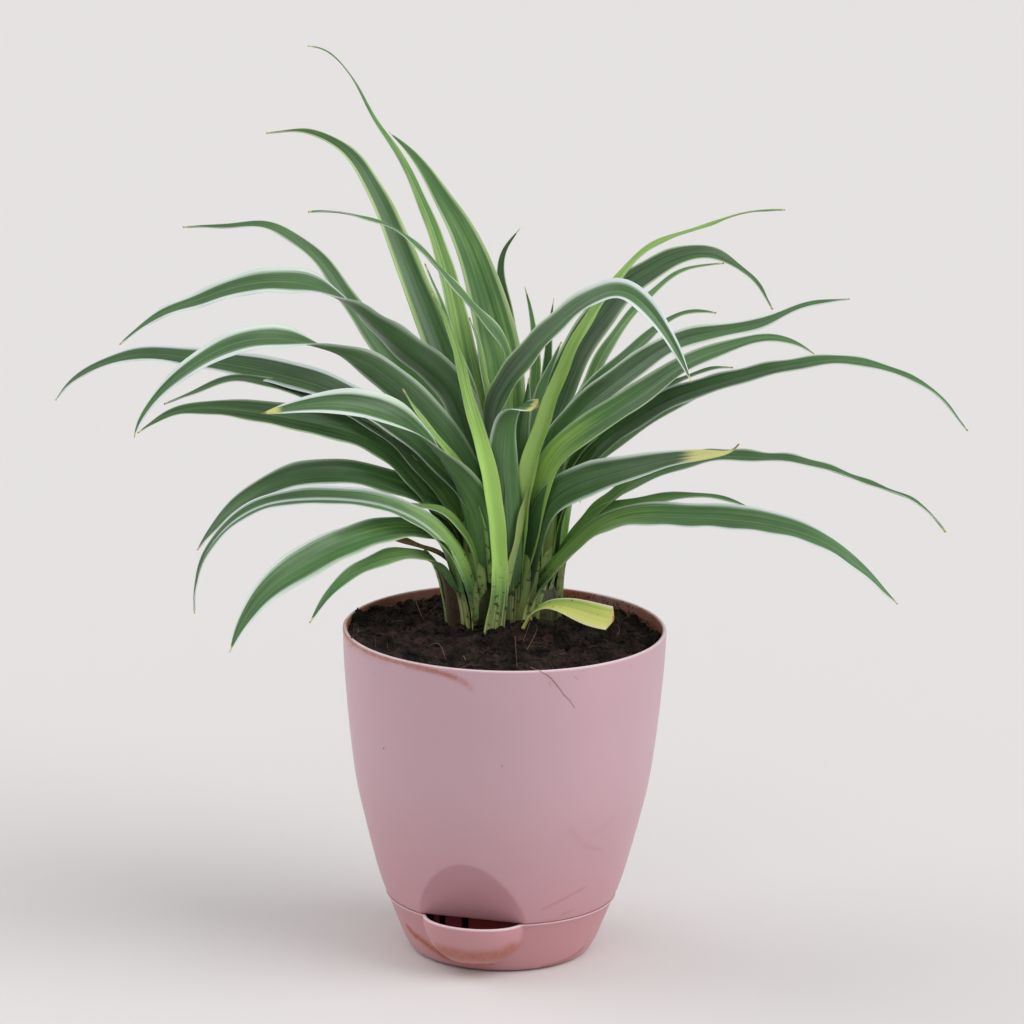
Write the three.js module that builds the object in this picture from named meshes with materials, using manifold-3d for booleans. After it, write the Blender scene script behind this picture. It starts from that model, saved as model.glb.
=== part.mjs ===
// A spider plant in a self-watering planter: an upper pot over a water tray, potting soil, two crowns and their leaves.
// Millimetres. +Z is up, +X right and -Y towards the front. The origin is the centre of the tray's foot.
import * as THREE from "three";
import { mergeVertices } from "three/addons/utils/BufferGeometryUtils.js";
import Module from "manifold-3d";

// Driving dimensions
const RIM_Z = 134; // height of the pot's rim
const SEAM_Z = 23; // height of the seam between pot and tray
const WALL = 1.8; // moulded wall thickness
const GAP = 0.3; // clearance between neighbouring pieces
const ROUND = 40; // facets round the pot

// Outside of the planter, [radius, height], from the rim down.
const POT_OUTSIDE = [
  [65, RIM_Z],
  [64.4, 120],
  [63, 103],
  [61.2, 86],
  [58.8, 69.5],
  [55, 53],
  [50.6, 36],
  [47.9, 27.5],
  [46.3, SEAM_Z + GAP],
];
const TRAY_OUTSIDE = [
  [46.9, SEAM_Z],
  [45.4, 18],
  [43.4, 13],
  [41.4, 8],
  [39.2, 3.6],
  [37.2, 1.1],
  [34.6, 0],
];

// Filling mouth: its direction from the axis, and the flat recess over it.
const MOUTH_AZIMUTH = -105.7; // degrees from +X
const RECESS_FOOT = 40.4; // distance of the recess face from the axis at the seam
const RECESS_LEAN = 0.503; // how far the face leans out per millimetre of height
const RECESS_TOP = 54;
// The lip is a quarter of an ellipsoid hung on the tray under the seam.
const LIP = { centre: 38, out: 16, across: 21, deep: 19.5 };

// Wick cup under the pot's floor
const FLOOR_Z = SEAM_Z + 3;
const CUP = { radius: 22, bottom: 4, slotWidth: 3, slotLow: 7, slotHigh: 20, slots: 7 };

// Soil
const SOIL_RIM_Z = 129;
const STEM_HOLE = 0.4; // clearance round a crown in the soil

// Crowns: [name, centre x, centre y, radius, flutes]
const CROWNS = [
  ["crown_left", -12, 14, 13, 7],
  ["crown_right", 12, 24, 12.4, 6],
];
const CROWN_FOOT_Z = 112;
const CROWN_TOP_Z = 158;

// Blades
const BLADE_THICK = 0.8;
const BLADE_STEP = 19; // length of one step along a blade
const BLADE_STEPS_MOST = 13;
const TIP_WIDTH = 1.2;

// Leaves: name, full width, share of the length where the taper starts, and the turn in degrees of the upper side
// towards the front, spread evenly from base to tip; then the midrib's points [x, y, z] from base to tip.
export const LEAVES = [
  ["leaf_left_01", 13, 0.45, [30, 35, 35, 30, 20], [[-6, 26, 136], [-8, 28, 165], [-18, 31, 190], [-29, 34, 212],
    [-40, 37, 225], [-49, 39, 236], [-57, 41, 247], [-66, 43, 259], [-75, 45, 272], [-86, 47, 281], [-98, 48, 287],
    [-114, 49, 286], [-132, 50, 285]]],
  ["leaf_left_02", 16, 0.65, [-40, -45, -45, -16, 15, 25, 30], [[-5, 20, 136], [-5, 20, 165], [-12, 20, 197],
    [-18, 19, 218], [-25, 17, 231], [-38, 15, 242], [-52, 15, 253], [-64, 14, 263], [-77, 13, 270], [-92, 12, 272],
    [-108, 11, 270], [-124, 10, 264], [-140, 9, 258], [-155, 8, 246]]],
  ["leaf_left_03", 15, 0.6, [20, 30, 30, 15, 20, 20], [[-8, 16, 136], [-8, 14, 160], [-11, 12, 177], [-18, 11, 188],
    [-29, 10, 200], [-40, 10, 210], [-53, 10, 219], [-73, 11, 229], [-96, 12, 235], [-122, 13, 239], [-146, 14, 241],
    [-164, 14, 236], [-176, 15, 228], [-181, 15, 221]]],
  ["leaf_left_04", 14, 0.6, [20, 30, 30, 15, 15, 15], [[-14, 21, 136], [-16, 19, 156], [-17, 17, 170],
    [-25, 15, 184], [-35, 14, 196], [-46, 12, 208], [-61, 10, 218], [-79, 7, 226], [-97, 5, 232], [-109, 4, 234],
    [-123, 3, 229], [-137, 3, 223]]],
  ["leaf_left_05", 15, 0.7, [-40, -50, -40, -16, 15, 35, 40], [[-9, 14, 136], [-9, 13, 160], [-12, 10, 184],
    [-18, 8, 198], [-24, 6, 209], [-33, 3, 221], [-45, 0, 233], [-59, -4, 244], [-75, -9, 251], [-91, -14, 255],
    [-107, -19, 254], [-122, -23, 247], [-136, -26, 236], [-145, -28, 224], [-147, -28, 217]]],
  ["leaf_left_06", 15, 0.6, [20, 30, 30, 25, 20], [[-13, 17, 136], [-16, 16, 155], [-22, 15, 170], [-30, 13, 182],
    [-38, 11, 193], [-48, 9, 204], [-61, 6, 212], [-79, 3, 217], [-99, 0, 221], [-119, -2, 223], [-135, -4, 221],
    [-147, -5, 213]]],
  ["leaf_left_07", 16, 0.72, [-60, -60, -20, 30, 60, 60], [[-6, 8, 136], [-7, 5, 160], [-9, 2, 176], [-15, -2, 190],
    [-21, -6, 200], [-28, -11, 210], [-36, -16, 219], [-45, -21, 226], [-57, -26, 231], [-68, -30, 233],
    [-82, -33, 232], [-97, -35, 229]]],
  ["leaf_left_08", 14, 0.7, [20, 30, 15, 15, 20], [[-14, 13, 135], [-15, 13, 152], [-20, 11, 173], [-30, 8, 184],
    [-43, 5, 190], [-57, 2, 195], [-73, -1, 197], [-87, -3, 195], [-99, -5, 190], [-111, -7, 182], [-119, -8, 172],
    [-123, -8, 166]]],
  ["leaf_left_09", 13, 0.6, [50, 40, 25, 20, 20], [[-13, 5, 134], [-14, 4, 144], [-18, 2, 157], [-24, -2, 169],
    [-34, -7, 179], [-48, -13, 187], [-64, -19, 191], [-82, -24, 192], [-97, -28, 190], [-110, -30, 182],
    [-119, -31, 170], [-123, -31, 156], [-123, -30, 146]]],
  ["leaf_left_10", 8, 0.6, [30, 30, 20], [[-9, 9, 136], [-11, 7, 152], [-13, 6, 164], [-18, 4, 173], [-26, 1, 182],
    [-36, -2, 184], [-46, -4, 186]]],
  ["leaf_left_11", 15, 0.72, [20, 20, 30, 45, 40], [[-18, 6, 135], [-21, 6, 152], [-26, 0, 170], [-36, -5, 175],
    [-48, -12, 176], [-62, -22, 174], [-77, -32, 169], [-93, -42, 160], [-103, -49, 148], [-108, -54, 137]]],
  ["leaf_left_12", 11, 0.55, [20, 15, 20, 25], [[-20, 10, 134], [-22, 7, 149], [-28, 2, 160], [-38, -6, 165],
    [-50, -16, 165], [-61, -26, 162], [-69, -35, 157], [-77, -45, 147]]],
  ["leaf_left_13", 8, 0.6, [20, 30, 30], [[-7, 9, 150], [-9, 7, 176], [-15, 4, 192], [-23, 1, 205], [-30, -1, 214],
    [-37, -3, 224], [-42, -5, 233]]],
  ["dried_leaf", 5, 0.5, [0, 20, 0], [[-18, 11, 148], [-24, 9, 160], [-36, 5, 166], [-48, 3, 170], [-62, 0, 174],
    [-76, -3, 169]]],
  ["leaf_top_01", 13, 0.35, [40, 40, 40, 30], [[-3, 24, 136], [-4, 25, 165], [-9, 26, 204], [-15, 28, 226],
    [-20, 30, 250], [-25, 32, 271], [-31, 34, 289], [-38, 36, 305], [-45, 38, 319], [-53, 40, 329], [-58, 41, 338],
    [-63, 42, 347], [-69, 43, 355], [-75, 44, 360], [-82, 44, 361]]],
  ["leaf_top_02", 16, 0.55, [0, 10, 20, 20], [[0, 28, 136], [1, 30, 165], [0, 33, 192], [-1, 36, 218], [-2, 40, 232],
    [-5, 44, 244], [-9, 49, 258], [-14, 54, 272], [-20, 60, 284], [-27, 66, 294], [-34, 72, 304], [-42, 77, 313],
    [-50, 81, 319]]],
  ["leaf_top_03", 15, 0.5, [10, 20, 20, 10], [[-4, 30, 136], [-6, 32, 165], [-12, 36, 191], [-18, 40, 212],
    [-25, 45, 231], [-33, 50, 250], [-41, 56, 268], [-48, 62, 284], [-56, 68, 299], [-64, 73, 310], [-73, 78, 316],
    [-85, 82, 319], [-100, 85, 317]]],
  ["leaf_top_04", 13, 0.4, [40, 40, 25, 20], [[4, 20, 136], [3, 20, 165], [0, 20, 195], [-1, 19, 222], [0, 17, 237],
    [-3, 16, 248], [-12, 14, 259], [-23, 11, 272], [-34, 8, 285], [-45, 5, 295], [-57, 2, 300], [-68, 0, 303],
    [-80, -1, 303]]],
  ["leaf_top_05", 9, 0.4, [40, 40, 30], [[-3, 18, 140], [-6, 21, 180], [-14, 22, 221], [-19, 22, 236],
    [-24, 23, 251], [-28, 24, 263], [-34, 25, 277]]],
  ["leaf_top_06", 8, 0.4, [30, 30, 30], [[-1, 25, 150], [-4, 26, 200], [-10, 28, 231], [-12, 29, 243],
    [-16, 30, 254]]],
  ["leaf_front_01", 12, 0.5, [60, 50, 40, 35], [[-5, 2, 134], [-3, 1, 146], [-3, 1, 160], [-4, 0, 174], [-6, 0, 188],
    [-9, 0, 203], [-13, 2, 216], [-17, 5, 229], [-20, 8, 242], [-25, 9, 257], [-31, 10, 269]]],
  ["leaf_back_01", 12, 0.5, [0, 0, 0], [[-2, 36, 136], [-3, 52, 180], [-6, 66, 215], [-9, 78, 245], [-12, 86, 264],
    [-14, 90, 276]]],
  ["leaf_back_02", 11, 0.5, [0, 10, 0], [[5, 34, 136], [5, 42, 175], [3, 50, 214], [1, 56, 234], [-1, 62, 250],
    [-4, 67, 264], [-3, 70, 273], [0, 71, 277], [4, 72, 282]]],
  ["leaf_back_03", 9, 0.5, [0, 0, 0], [[8, 35, 136], [9, 42, 175], [10, 48, 208], [11, 52, 232], [9, 55, 250],
    [6, 57, 261]]],
  ["leaf_back_04", 9, 0.5, [0, 0, 0], [[13, 35, 136], [14, 44, 175], [15, 50, 210], [16, 54, 234], [17, 57, 249],
    [18, 59, 256]]],
  ["leaf_centre_01", 16, 0.7, [50, 42, 38, 30, 5, 28, 45], [[0, 14, 136], [-1, 13, 156], [-2, 12, 175], [-4, 12, 202],
    [-6, 10, 219], [-2, 6, 231], [5, 2, 242], [14, -3, 254], [25, -8, 266], [35, -13, 274], [45, -17, 277],
    [54, -21, 271], [62, -24, 261], [68, -26, 251], [72, -27, 242]]],
  ["leaf_centre_02", 12, 0.7, [0, 0, 30], [[2, 9, 136], [1, 7, 170], [0, 5, 190], [0, 3, 205], [1, 0, 218],
    [4, -3, 226], [8, -5, 225], [12, -7, 227]]],
  ["leaf_centre_03", 12, 0.6, [-60, -60, -60], [[4, 20, 140], [4, 18, 172], [5, 16, 203], [6, 15, 215], [8, 15, 225],
    [8, 15, 233]]],
  ["leaf_centre_04", 12, 0.6, [-60, -50, -50], [[6, 24, 136], [8, 22, 170], [11, 22, 200], [13, 22, 226],
    [16, 23, 234], [21, 24, 246]]],
  ["leaf_right_01", 13, 0.25, [50, 50, 45, 40, 30], [[5, 16, 136], [5, 14, 152], [6, 12, 167], [7, 10, 184],
    [10, 9, 200], [15, 9, 217], [20, 10, 232], [26, 11, 247], [33, 12, 260], [41, 13, 272], [50, 14, 283],
    [60, 16, 290], [76, 18, 295], [93, 20, 301], [109, 21, 302]]],
  ["leaf_right_02", 16, 0.6, [40, 35, 30, 20, 20], [[7, 20, 136], [8, 18, 152], [11, 15, 170], [14, 12, 188],
    [19, 9, 202], [29, 7, 212], [43, 6, 222], [57, 5, 232], [71, 3, 243], [87, 1, 250], [102, -1, 255],
    [114, -2, 253], [121, -3, 249]]],
  ["leaf_right_03", 15, 0.55, [30, 35, 35, 20, 15, 15], [[14, 21, 136], [14, 22, 165], [14, 22, 193], [20, 22, 206],
    [29, 21, 218], [41, 19, 229], [55, 16, 241], [69, 14, 250], [85, 12, 254], [101, 10, 258], [117, 9, 266],
    [135, 8, 269]]],
  ["leaf_right_04", 15, 0.35, [30, 30, 30, 20, 10, 10], [[18, 26, 136], [19, 26, 165], [22, 25, 181], [28, 23, 193],
    [37, 21, 205], [51, 18, 216], [67, 15, 226], [85, 12, 233], [103, 9, 239], [119, 6, 243], [133, 4, 245],
    [151, 2, 242], [169, 0, 234], [183, -1, 218]]],
  ["leaf_right_05", 9, 0.5, [20, 20, 20], [[20, 30, 136], [21, 31, 165], [25, 32, 182], [37, 34, 196],
    [58, 36, 211], [78, 38, 222], [96, 40, 228]]],
  ["leaf_right_06", 11, 0.5, [20, 25, 20], [[16, 31, 136], [18, 30, 165], [21, 29, 185], [31, 28, 203],
    [42, 27, 213], [56, 26, 223], [70, 26, 231], [82, 26, 236], [90, 26, 236]]],
  ["leaf_right_07", 15, 0.6, [25, 30, 35, 25, 20], [[10, 33, 136], [12, 34, 170], [15, 38, 201], [21, 42, 221],
    [28, 45, 238], [36, 48, 250], [46, 51, 262], [58, 54, 270], [69, 57, 275], [80, 60, 276], [90, 62, 271],
    [100, 64, 263], [107, 66, 251]]],
  ["leaf_right_08", 12, 0.35, [30, 30, 30, 20], [[14, 28, 136], [15, 29, 170], [19, 30, 190], [26, 32, 206],
    [32, 34, 224], [39, 36, 240], [48, 38, 253], [58, 40, 264], [71, 42, 273], [86, 43, 275]]],
  ["leaf_right_09", 13, 0.5, [30, 35, 35, 20], [[16, 24, 136], [17, 25, 168], [21, 26, 202], [29, 27, 219],
    [37, 28, 229], [49, 29, 241], [62, 30, 253], [72, 31, 258], [83, 32, 257]]],
  ["leaf_right_10", 17, 0.55, [40, 60, 60, 50, 40], [[9, 13, 136], [11, 11, 155], [13, 9, 174], [19, 5, 186],
    [29, -2, 194], [41, -9, 200], [55, -17, 206], [68, -24, 211], [81, -30, 214], [90, -33, 216], [91, -32, 219]]],
  ["leaf_right_11", 13, 0.35, [20, 20, 20, 10, 10], [[22, 27, 136], [23, 28, 150], [28, 25, 165], [37, 22, 177],
    [50, 18, 189], [66, 14, 197], [82, 10, 203], [99, 6, 204], [117, 2, 204], [133, -1, 200], [149, -4, 195],
    [165, -6, 189], [175, -8, 178]]],
  ["leaf_right_12", 15, 0.65, [30, 25, 30, 25, 25], [[11, 16, 134], [14, 13, 145], [20, 9, 155], [28, 5, 166],
    [38, 0, 176], [51, -6, 182], [69, -13, 184], [89, -19, 185], [108, -25, 184], [126, -30, 179], [141, -34, 169],
    [155, -37, 156]]],
  ["leaf_right_13", 11, 0.5, [20, 20, 15], [[18, 22, 136], [20, 21, 152], [27, 19, 166], [38, 16, 177],
    [54, 12, 183], [70, 8, 187], [84, 5, 188], [97, 3, 184]]],
  ["yellow_leaf", 12, 0.8, [0, 40, 55, 50], [[8, -2, 133], [11, -4, 140], [22, -8, 143], [34, -12, 143],
    [43, -15, 141]]],
  ["leaf_rear_01", 14, 0.5, [0, 0, 0], [[-12, 24, 136], [-13, 34, 165], [-14, 52, 188], [-17, 78, 199],
    [-20, 104, 190], [-21, 122, 168]]],
  ["leaf_rear_02", 15, 0.5, [0, 0, 0], [[2, 34, 136], [3, 44, 165], [4, 64, 190], [5, 92, 199], [7, 120, 186],
    [8, 140, 160]]],
  ["leaf_rear_03", 14, 0.5, [0, 0, 0], [[17, 34, 136], [19, 44, 160], [22, 62, 178], [25, 88, 184], [29, 112, 172],
    [31, 128, 152]]],
  ["leaf_rear_04", 13, 0.45, [0, 0, 0], [[-2, 40, 138], [-1, 50, 170], [-1, 62, 200], [-4, 78, 226], [-8, 97, 246],
    [-14, 118, 256], [-20, 138, 252]]],
  ["leaf_rear_05", 13, 0.5, [0, 0, 0], [[16, 36, 136], [19, 46, 160], [23, 60, 180], [28, 78, 194], [35, 98, 200],
    [43, 120, 195]]],
  ["leaf_rear_06", 13, 0.5, [0, 0, 0], [[-15, 27, 136], [-16, 42, 160], [-19, 58, 180], [-23, 76, 194],
    [-29, 96, 200], [-36, 116, 197]]],
];

const wasm = await Module();
wasm.setup();

const radians = THREE.MathUtils.degToRad;
const lerp = THREE.MathUtils.lerp;

// A closed geometry as a solid: position only, shared vertices merged, collapsed triangles dropped.
export function solidOf(geometry) {
  const bare = (geometry.index ? geometry.toNonIndexed() : geometry.clone());
  for (const name of Object.keys(bare.attributes)) if (name !== "position") bare.deleteAttribute(name);
  const merged = mergeVertices(bare, 1e-4);
  const triVerts = [];
  for (let i = 0; i < merged.index.count; i += 3) {
    const [a, b, c] = [0, 1, 2].map((k) => merged.index.getX(i + k));
    if (a !== b && b !== c && a !== c) triVerts.push(a, b, c);
  }
  const vertProperties = new Float32Array(merged.attributes.position.array);
  return new wasm.Manifold(new wasm.Mesh({ numProp: 3, vertProperties, triVerts: new Uint32Array(triVerts) }));
}

// A solid's triangles as a geometry.
function geometryOf(solid) {
  const { vertProperties, triVerts } = solid.getMesh();
  const geometry = new THREE.BufferGeometry();
  geometry.setAttribute("position", new THREE.BufferAttribute(new Float32Array(vertProperties), 3));
  geometry.setIndex(new THREE.BufferAttribute(new Uint32Array(triVerts), 1));
  geometry.computeVertexNormals();
  return geometry;
}

// The body of largest volume, which leaves out loose scraps.
function largest(solid) {
  return solid.decompose().reduce((best, body) => (body.volume() > best.volume() ? body : best));
}

// A profile of [radius, height] turned round Z; it runs up the outside and starts and ends on the axis.
function turned(profile, facets = ROUND) {
  const geometry = new THREE.LatheGeometry(profile.map(([r, z]) => new THREE.Vector2(r, z)), facets);
  return geometry.rotateX(Math.PI / 2);
}

// The same profile set inwards by a wall, from a list that runs down the outside.
function insideOf(outside, wall) {
  return outside.map(([r, z]) => [r - wall, z]);
}

const mouth = new THREE.Vector2(Math.cos(radians(MOUTH_AZIMUTH)), Math.sin(radians(MOUTH_AZIMUTH)));

// Everything in front of the recess face moved out by "shift", up to the recess's top.
function recessWedge(shift) {
  const low = SEAM_Z - 8;
  const reach = 40;
  const face = (z) => RECESS_FOOT + shift + (z - SEAM_Z) * RECESS_LEAN;
  const outline = new THREE.Shape([
    new THREE.Vector2(face(low), low),
    new THREE.Vector2(face(low) + reach, low),
    new THREE.Vector2(face(RECESS_TOP) + reach, RECESS_TOP),
    new THREE.Vector2(face(RECESS_TOP), RECESS_TOP),
  ]);
  const wide = 90;
  const wedge = new THREE.ExtrudeGeometry(outline, { depth: wide, bevelEnabled: false });
  wedge.translate(0, 0, -wide / 2).rotateX(Math.PI / 2).rotateZ(radians(MOUTH_AZIMUTH));
  return solidOf(wedge);
}

// The lip's ellipsoid, set inwards by "wall" and cut off at the seam.
function lipBowl(wall) {
  const bowl = new THREE.SphereGeometry(1, 24, 12).rotateX(Math.PI / 2);
  bowl.scale(LIP.out - wall, LIP.across - wall, LIP.deep - wall);
  bowl.translate(LIP.centre, 0, SEAM_Z).rotateZ(radians(MOUTH_AZIMUTH));
  return solidOf(bowl);
}

function above(z) {
  const side = 400;
  return solidOf(new THREE.BoxGeometry(side, side, side).translate(0, 0, z + side / 2));
}

function planterPot() {
  const inside = insideOf(POT_OUTSIDE, WALL).filter(([, z]) => z > FLOOR_Z + 1);
  const outer = solidOf(turned([[0, SEAM_Z + GAP], ...POT_OUTSIDE.toReversed(), [0, RIM_Z]]));
  const hollow = solidOf(
    turned([[0, FLOOR_Z], [45.2, FLOOR_Z], ...inside.toReversed().slice(0, -1), [65 - WALL, RIM_Z + 1], [0, RIM_Z + 1]]),
  );
  const cup = solidOf(
    turned([[0, CUP.bottom], [CUP.radius - 1, CUP.bottom], [CUP.radius, CUP.bottom + 1], [CUP.radius, FLOOR_Z - 0.5],
      [0, FLOOR_Z - 0.5]]),
  );
  const cupHollow = solidOf(
    turned([[0, CUP.bottom + WALL], [CUP.radius - WALL, CUP.bottom + WALL], [CUP.radius - WALL, FLOOR_Z + 1],
      [0, FLOOR_Z + 1]]),
  );
  let shell = outer.subtract(recessWedge(0)).subtract(hollow.subtract(recessWedge(-WALL)));
  shell = shell.add(cup).subtract(cupHollow);
  for (let i = 0; i < CUP.slots; i++) {
    const slot = new THREE.BoxGeometry(3 * CUP.radius, CUP.slotWidth, CUP.slotHigh - CUP.slotLow);
    slot.translate(0, 0, (CUP.slotHigh + CUP.slotLow) / 2).rotateZ((Math.PI * i) / CUP.slots);
    shell = shell.subtract(solidOf(slot));
  }
  return shell;
}

function waterTray() {
  const outer = solidOf(turned([[0, 0], ...TRAY_OUTSIDE.toReversed(), [0, SEAM_Z]]));
  const inside = insideOf(TRAY_OUTSIDE, WALL).filter(([, z]) => z > WALL);
  const hollow = solidOf(
    turned([[0, WALL], [35, WALL], ...inside.toReversed(), [46.9 - WALL, SEAM_Z + 1], [0, SEAM_Z + 1]]),
  );
  const lip = lipBowl(0).subtract(above(SEAM_Z));
  return largest(outer.add(lip).subtract(hollow).subtract(lipBowl(WALL)));
}

// Height of the soil at a point: a mound under the crowns, a dip towards the right and back, and small lumps.
export function soilHeight(x, y) {
  const mound = 7 * Math.exp(-((x - 2) ** 2 + (y - 18) ** 2) / 900);
  const tilt = -0.03 * x - 0.02 * y;
  const lumps = 0.7 * Math.sin(x * 0.31 + 1) * Math.cos(y * 0.27) + 0.5 * Math.sin(x * 0.13 - y * 0.19);
  return SOIL_RIM_Z + mound + tilt + lumps;
}

function pottingSoil(crowns, raise) {
  const inside = insideOf(POT_OUTSIDE, WALL + GAP).filter(([, z]) => z > FLOOR_Z + 1 && z < SOIL_RIM_Z - 4);
  const top = 8;
  const edge = 65 - WALL - GAP - 0.4;
  const rings = Array.from({ length: top }, (_, i) => [edge * (1 - i / top), SOIL_RIM_Z]);
  const foot = [[0, CUP.bottom + WALL + GAP], [CUP.radius - WALL - GAP, CUP.bottom + WALL + GAP],
    [CUP.radius - WALL - GAP, FLOOR_Z + GAP], [44.9, FLOOR_Z + GAP]];
  const soil = turned([...foot, ...inside.toReversed(), ...rings, [0, SOIL_RIM_Z]]);
  const place = soil.attributes.position;
  for (let i = 0; i < place.count; i++) {
    if (place.getZ(i) < SOIL_RIM_Z - 0.01) continue;
    place.setZ(i, soilHeight(place.getX(i), place.getY(i)) + raise);
  }
  let solid = solidOf(soil).subtract(recessWedge(-WALL - GAP));
  for (const hole of crowns) solid = solid.subtract(hole);
  return largest(solid);
}

// A crown: a short round stem, fluted by the leaf bases round it, with a domed top.
function crownSolid([, x, y, radius, flutes], grow) {
  const profile = [[0, CROWN_FOOT_Z - grow], [0.55, CROWN_FOOT_Z - grow], [0.8, CROWN_FOOT_Z + 8], [0.95, 128],
    [1, 138], [0.94, 148], [0.66, 155], [0, CROWN_TOP_Z + grow]];
  const geometry = turned(profile.map(([share, z]) => [share * (radius + grow), z]), 36);
  const place = geometry.attributes.position;
  for (let i = 0; i < place.count; i++) {
    const turn = Math.atan2(place.getY(i), place.getX(i));
    const flute = 1 - 0.07 * (0.5 + 0.5 * Math.cos(turn * flutes + x));
    place.setX(i, place.getX(i) * flute);
    place.setY(i, place.getY(i) * flute);
  }
  return solidOf(geometry.translate(x, y, 0));
}

// A value spread evenly along a list, read at share s.
function along(values, s) {
  const at = s * (values.length - 1);
  const i = Math.min(Math.floor(at), values.length - 2);
  return lerp(values[i], values[i + 1], at - i);
}

// Width share of a blade: a clasping base, full width, then a taper to the tip.
function widthShare(s, taperFrom) {
  const base = lerp(0.72, 1, Math.min(s / 0.22, 1));
  return base * Math.min(1, (1 - s) / (1 - taperFrom)) ** 0.85;
}

// Fold of a blade's two halves up from its midrib, in degrees: nearly shut at the base, shallow further out.
function foldAngle(s) {
  return lerp(58, 16, Math.min(s / 0.3, 1));
}

// A blade: a folded strap swept along its midrib. "grow" thickens and widens it all round.
export function bladeSolid([, width, taperFrom, turns, points], grow = 0) {
  const curve = new THREE.CatmullRomCurve3(points.map((p) => new THREE.Vector3(...p)), false, "catmullrom", 0.5);
  const [first, last] = [curve.points[0], curve.points.at(-1)];
  const heading = new THREE.Vector3(last.x - first.x, last.y - first.y, 0).normalize();
  const acrossHeading = new THREE.Vector3(heading.y, -heading.x, 0);
  const towardsFront = heading.x < 0 ? 1 : -1;
  const steps = Math.min(BLADE_STEPS_MOST, Math.ceil(curve.getLength() / BLADE_STEP) + 1);
  const positions = [];
  for (let i = 0; i <= steps; i++) {
    const s = i / steps;
    const centre = curve.getPointAt(s);
    const tangent = curve.getTangentAt(s);
    const side = acrossHeading.clone().addScaledVector(tangent, -acrossHeading.dot(tangent)).normalize();
    const up = side.clone().cross(tangent).normalize();
    const turn = radians(along(turns, s)) * towardsFront;
    const across = side.clone().multiplyScalar(Math.cos(turn)).addScaledVector(up, Math.sin(turn));
    const normal = up.clone().multiplyScalar(Math.cos(turn)).addScaledVector(side, -Math.sin(turn));
    const half = Math.max(TIP_WIDTH, width * widthShare(s, taperFrom)) / 2 + grow;
    const fold = radians(foldAngle(s));
    const point = (sideways, raise) =>
      centre.clone().addScaledVector(across, sideways).addScaledVector(normal, raise);
    const reach = half * Math.cos(fold);
    const lift = (half * Math.sin(fold)) / 2;
    const thick = BLADE_THICK / 2 + grow;
    positions.push(
      point(-reach, lift + thick), point(0, thick - lift), point(reach, lift + thick),
      point(reach, lift - thick), point(0, -lift - thick), point(-reach, lift - thick),
    );
  }
  const geometry = new THREE.BufferGeometry().setFromPoints(positions);
  const index = [];
  const quad = (a, b, c, d) => index.push(a, b, c, a, c, d);
  for (let i = 0; i < steps; i++) {
    const [p, q] = [6 * i, 6 * (i + 1)];
    quad(p, p + 1, q + 1, q);
    quad(p + 1, p + 2, q + 2, q + 1);
    quad(p + 2, p + 3, q + 3, q + 2);
    index.push(p + 3, p + 4, q + 3, p + 4, q + 4, q + 3);
    index.push(p + 4, p + 5, q + 4, p + 5, q + 5, q + 4);
    quad(p + 5, p, q, q + 5);
  }
  const end = 6 * steps;
  quad(0, 5, 4, 1);
  quad(1, 4, 3, 2);
  quad(end, end + 1, end + 4, end + 5);
  quad(end + 1, end + 2, end + 3, end + 4);
  geometry.setIndex(index);
  return solidOf(geometry);
}

function touches(a, b) {
  const [p, q] = [a.boundingBox(), b.boundingBox()];
  return [0, 1, 2].every((k) => p.min[k] < q.max[k] && q.min[k] < p.max[k]);
}

const root = new THREE.Group();

function addPiece(name, solid, color, roughness) {
  const mesh = new THREE.Mesh(geometryOf(solid), new THREE.MeshStandardMaterial({ color, roughness, metalness: 0 }));
  mesh.name = name;
  root.add(mesh);
}

const LEAF_COLOURS = { yellow_leaf: "#b9c23a", dried_leaf: "#6a5233" };

addPiece("planter_pot", planterPot(), "#c9979f", 0.45);
addPiece("water_tray", waterTray(), "#c9979f", 0.45);
const holes = CROWNS.map((crown) => crownSolid(crown, STEM_HOLE));
addPiece("potting_soil", pottingSoil(holes, 0), "#2e211b", 0.95);
const taken = [pottingSoil([], GAP)];
for (const crown of CROWNS) {
  addPiece(crown[0], crownSolid(crown, 0), "#8fa855", 0.6);
  taken.push(crownSolid(crown, GAP));
}
// Each leaf gives way to the soil, the crowns and the leaves before it, where their bases crowd together.
for (const leaf of LEAVES) {
  const cuts = taken.filter((other) => touches(other, bladeSolid(leaf)));
  const blade = cuts.reduce((left, cut) => left.subtract(cut), bladeSolid(leaf));
  addPiece(leaf[0], largest(blade), LEAF_COLOURS[leaf[0]] ?? "#3f6b3c", 0.5);
  taken.push(bladeSolid(leaf, GAP));
}

export default root;
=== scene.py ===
"""A spider plant in a self-watering planter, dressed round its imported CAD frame.

The pot and tray are rebuilt smooth, the soil gets its crumbs and root fibres, and each leaf is swept
finely where its solid lies. Lengths in the tables are millimetres, the scene is in metres.
"""
import math
import random

import bmesh
import bpy
import numpy as np
from mathutils import Matrix, noise


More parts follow.
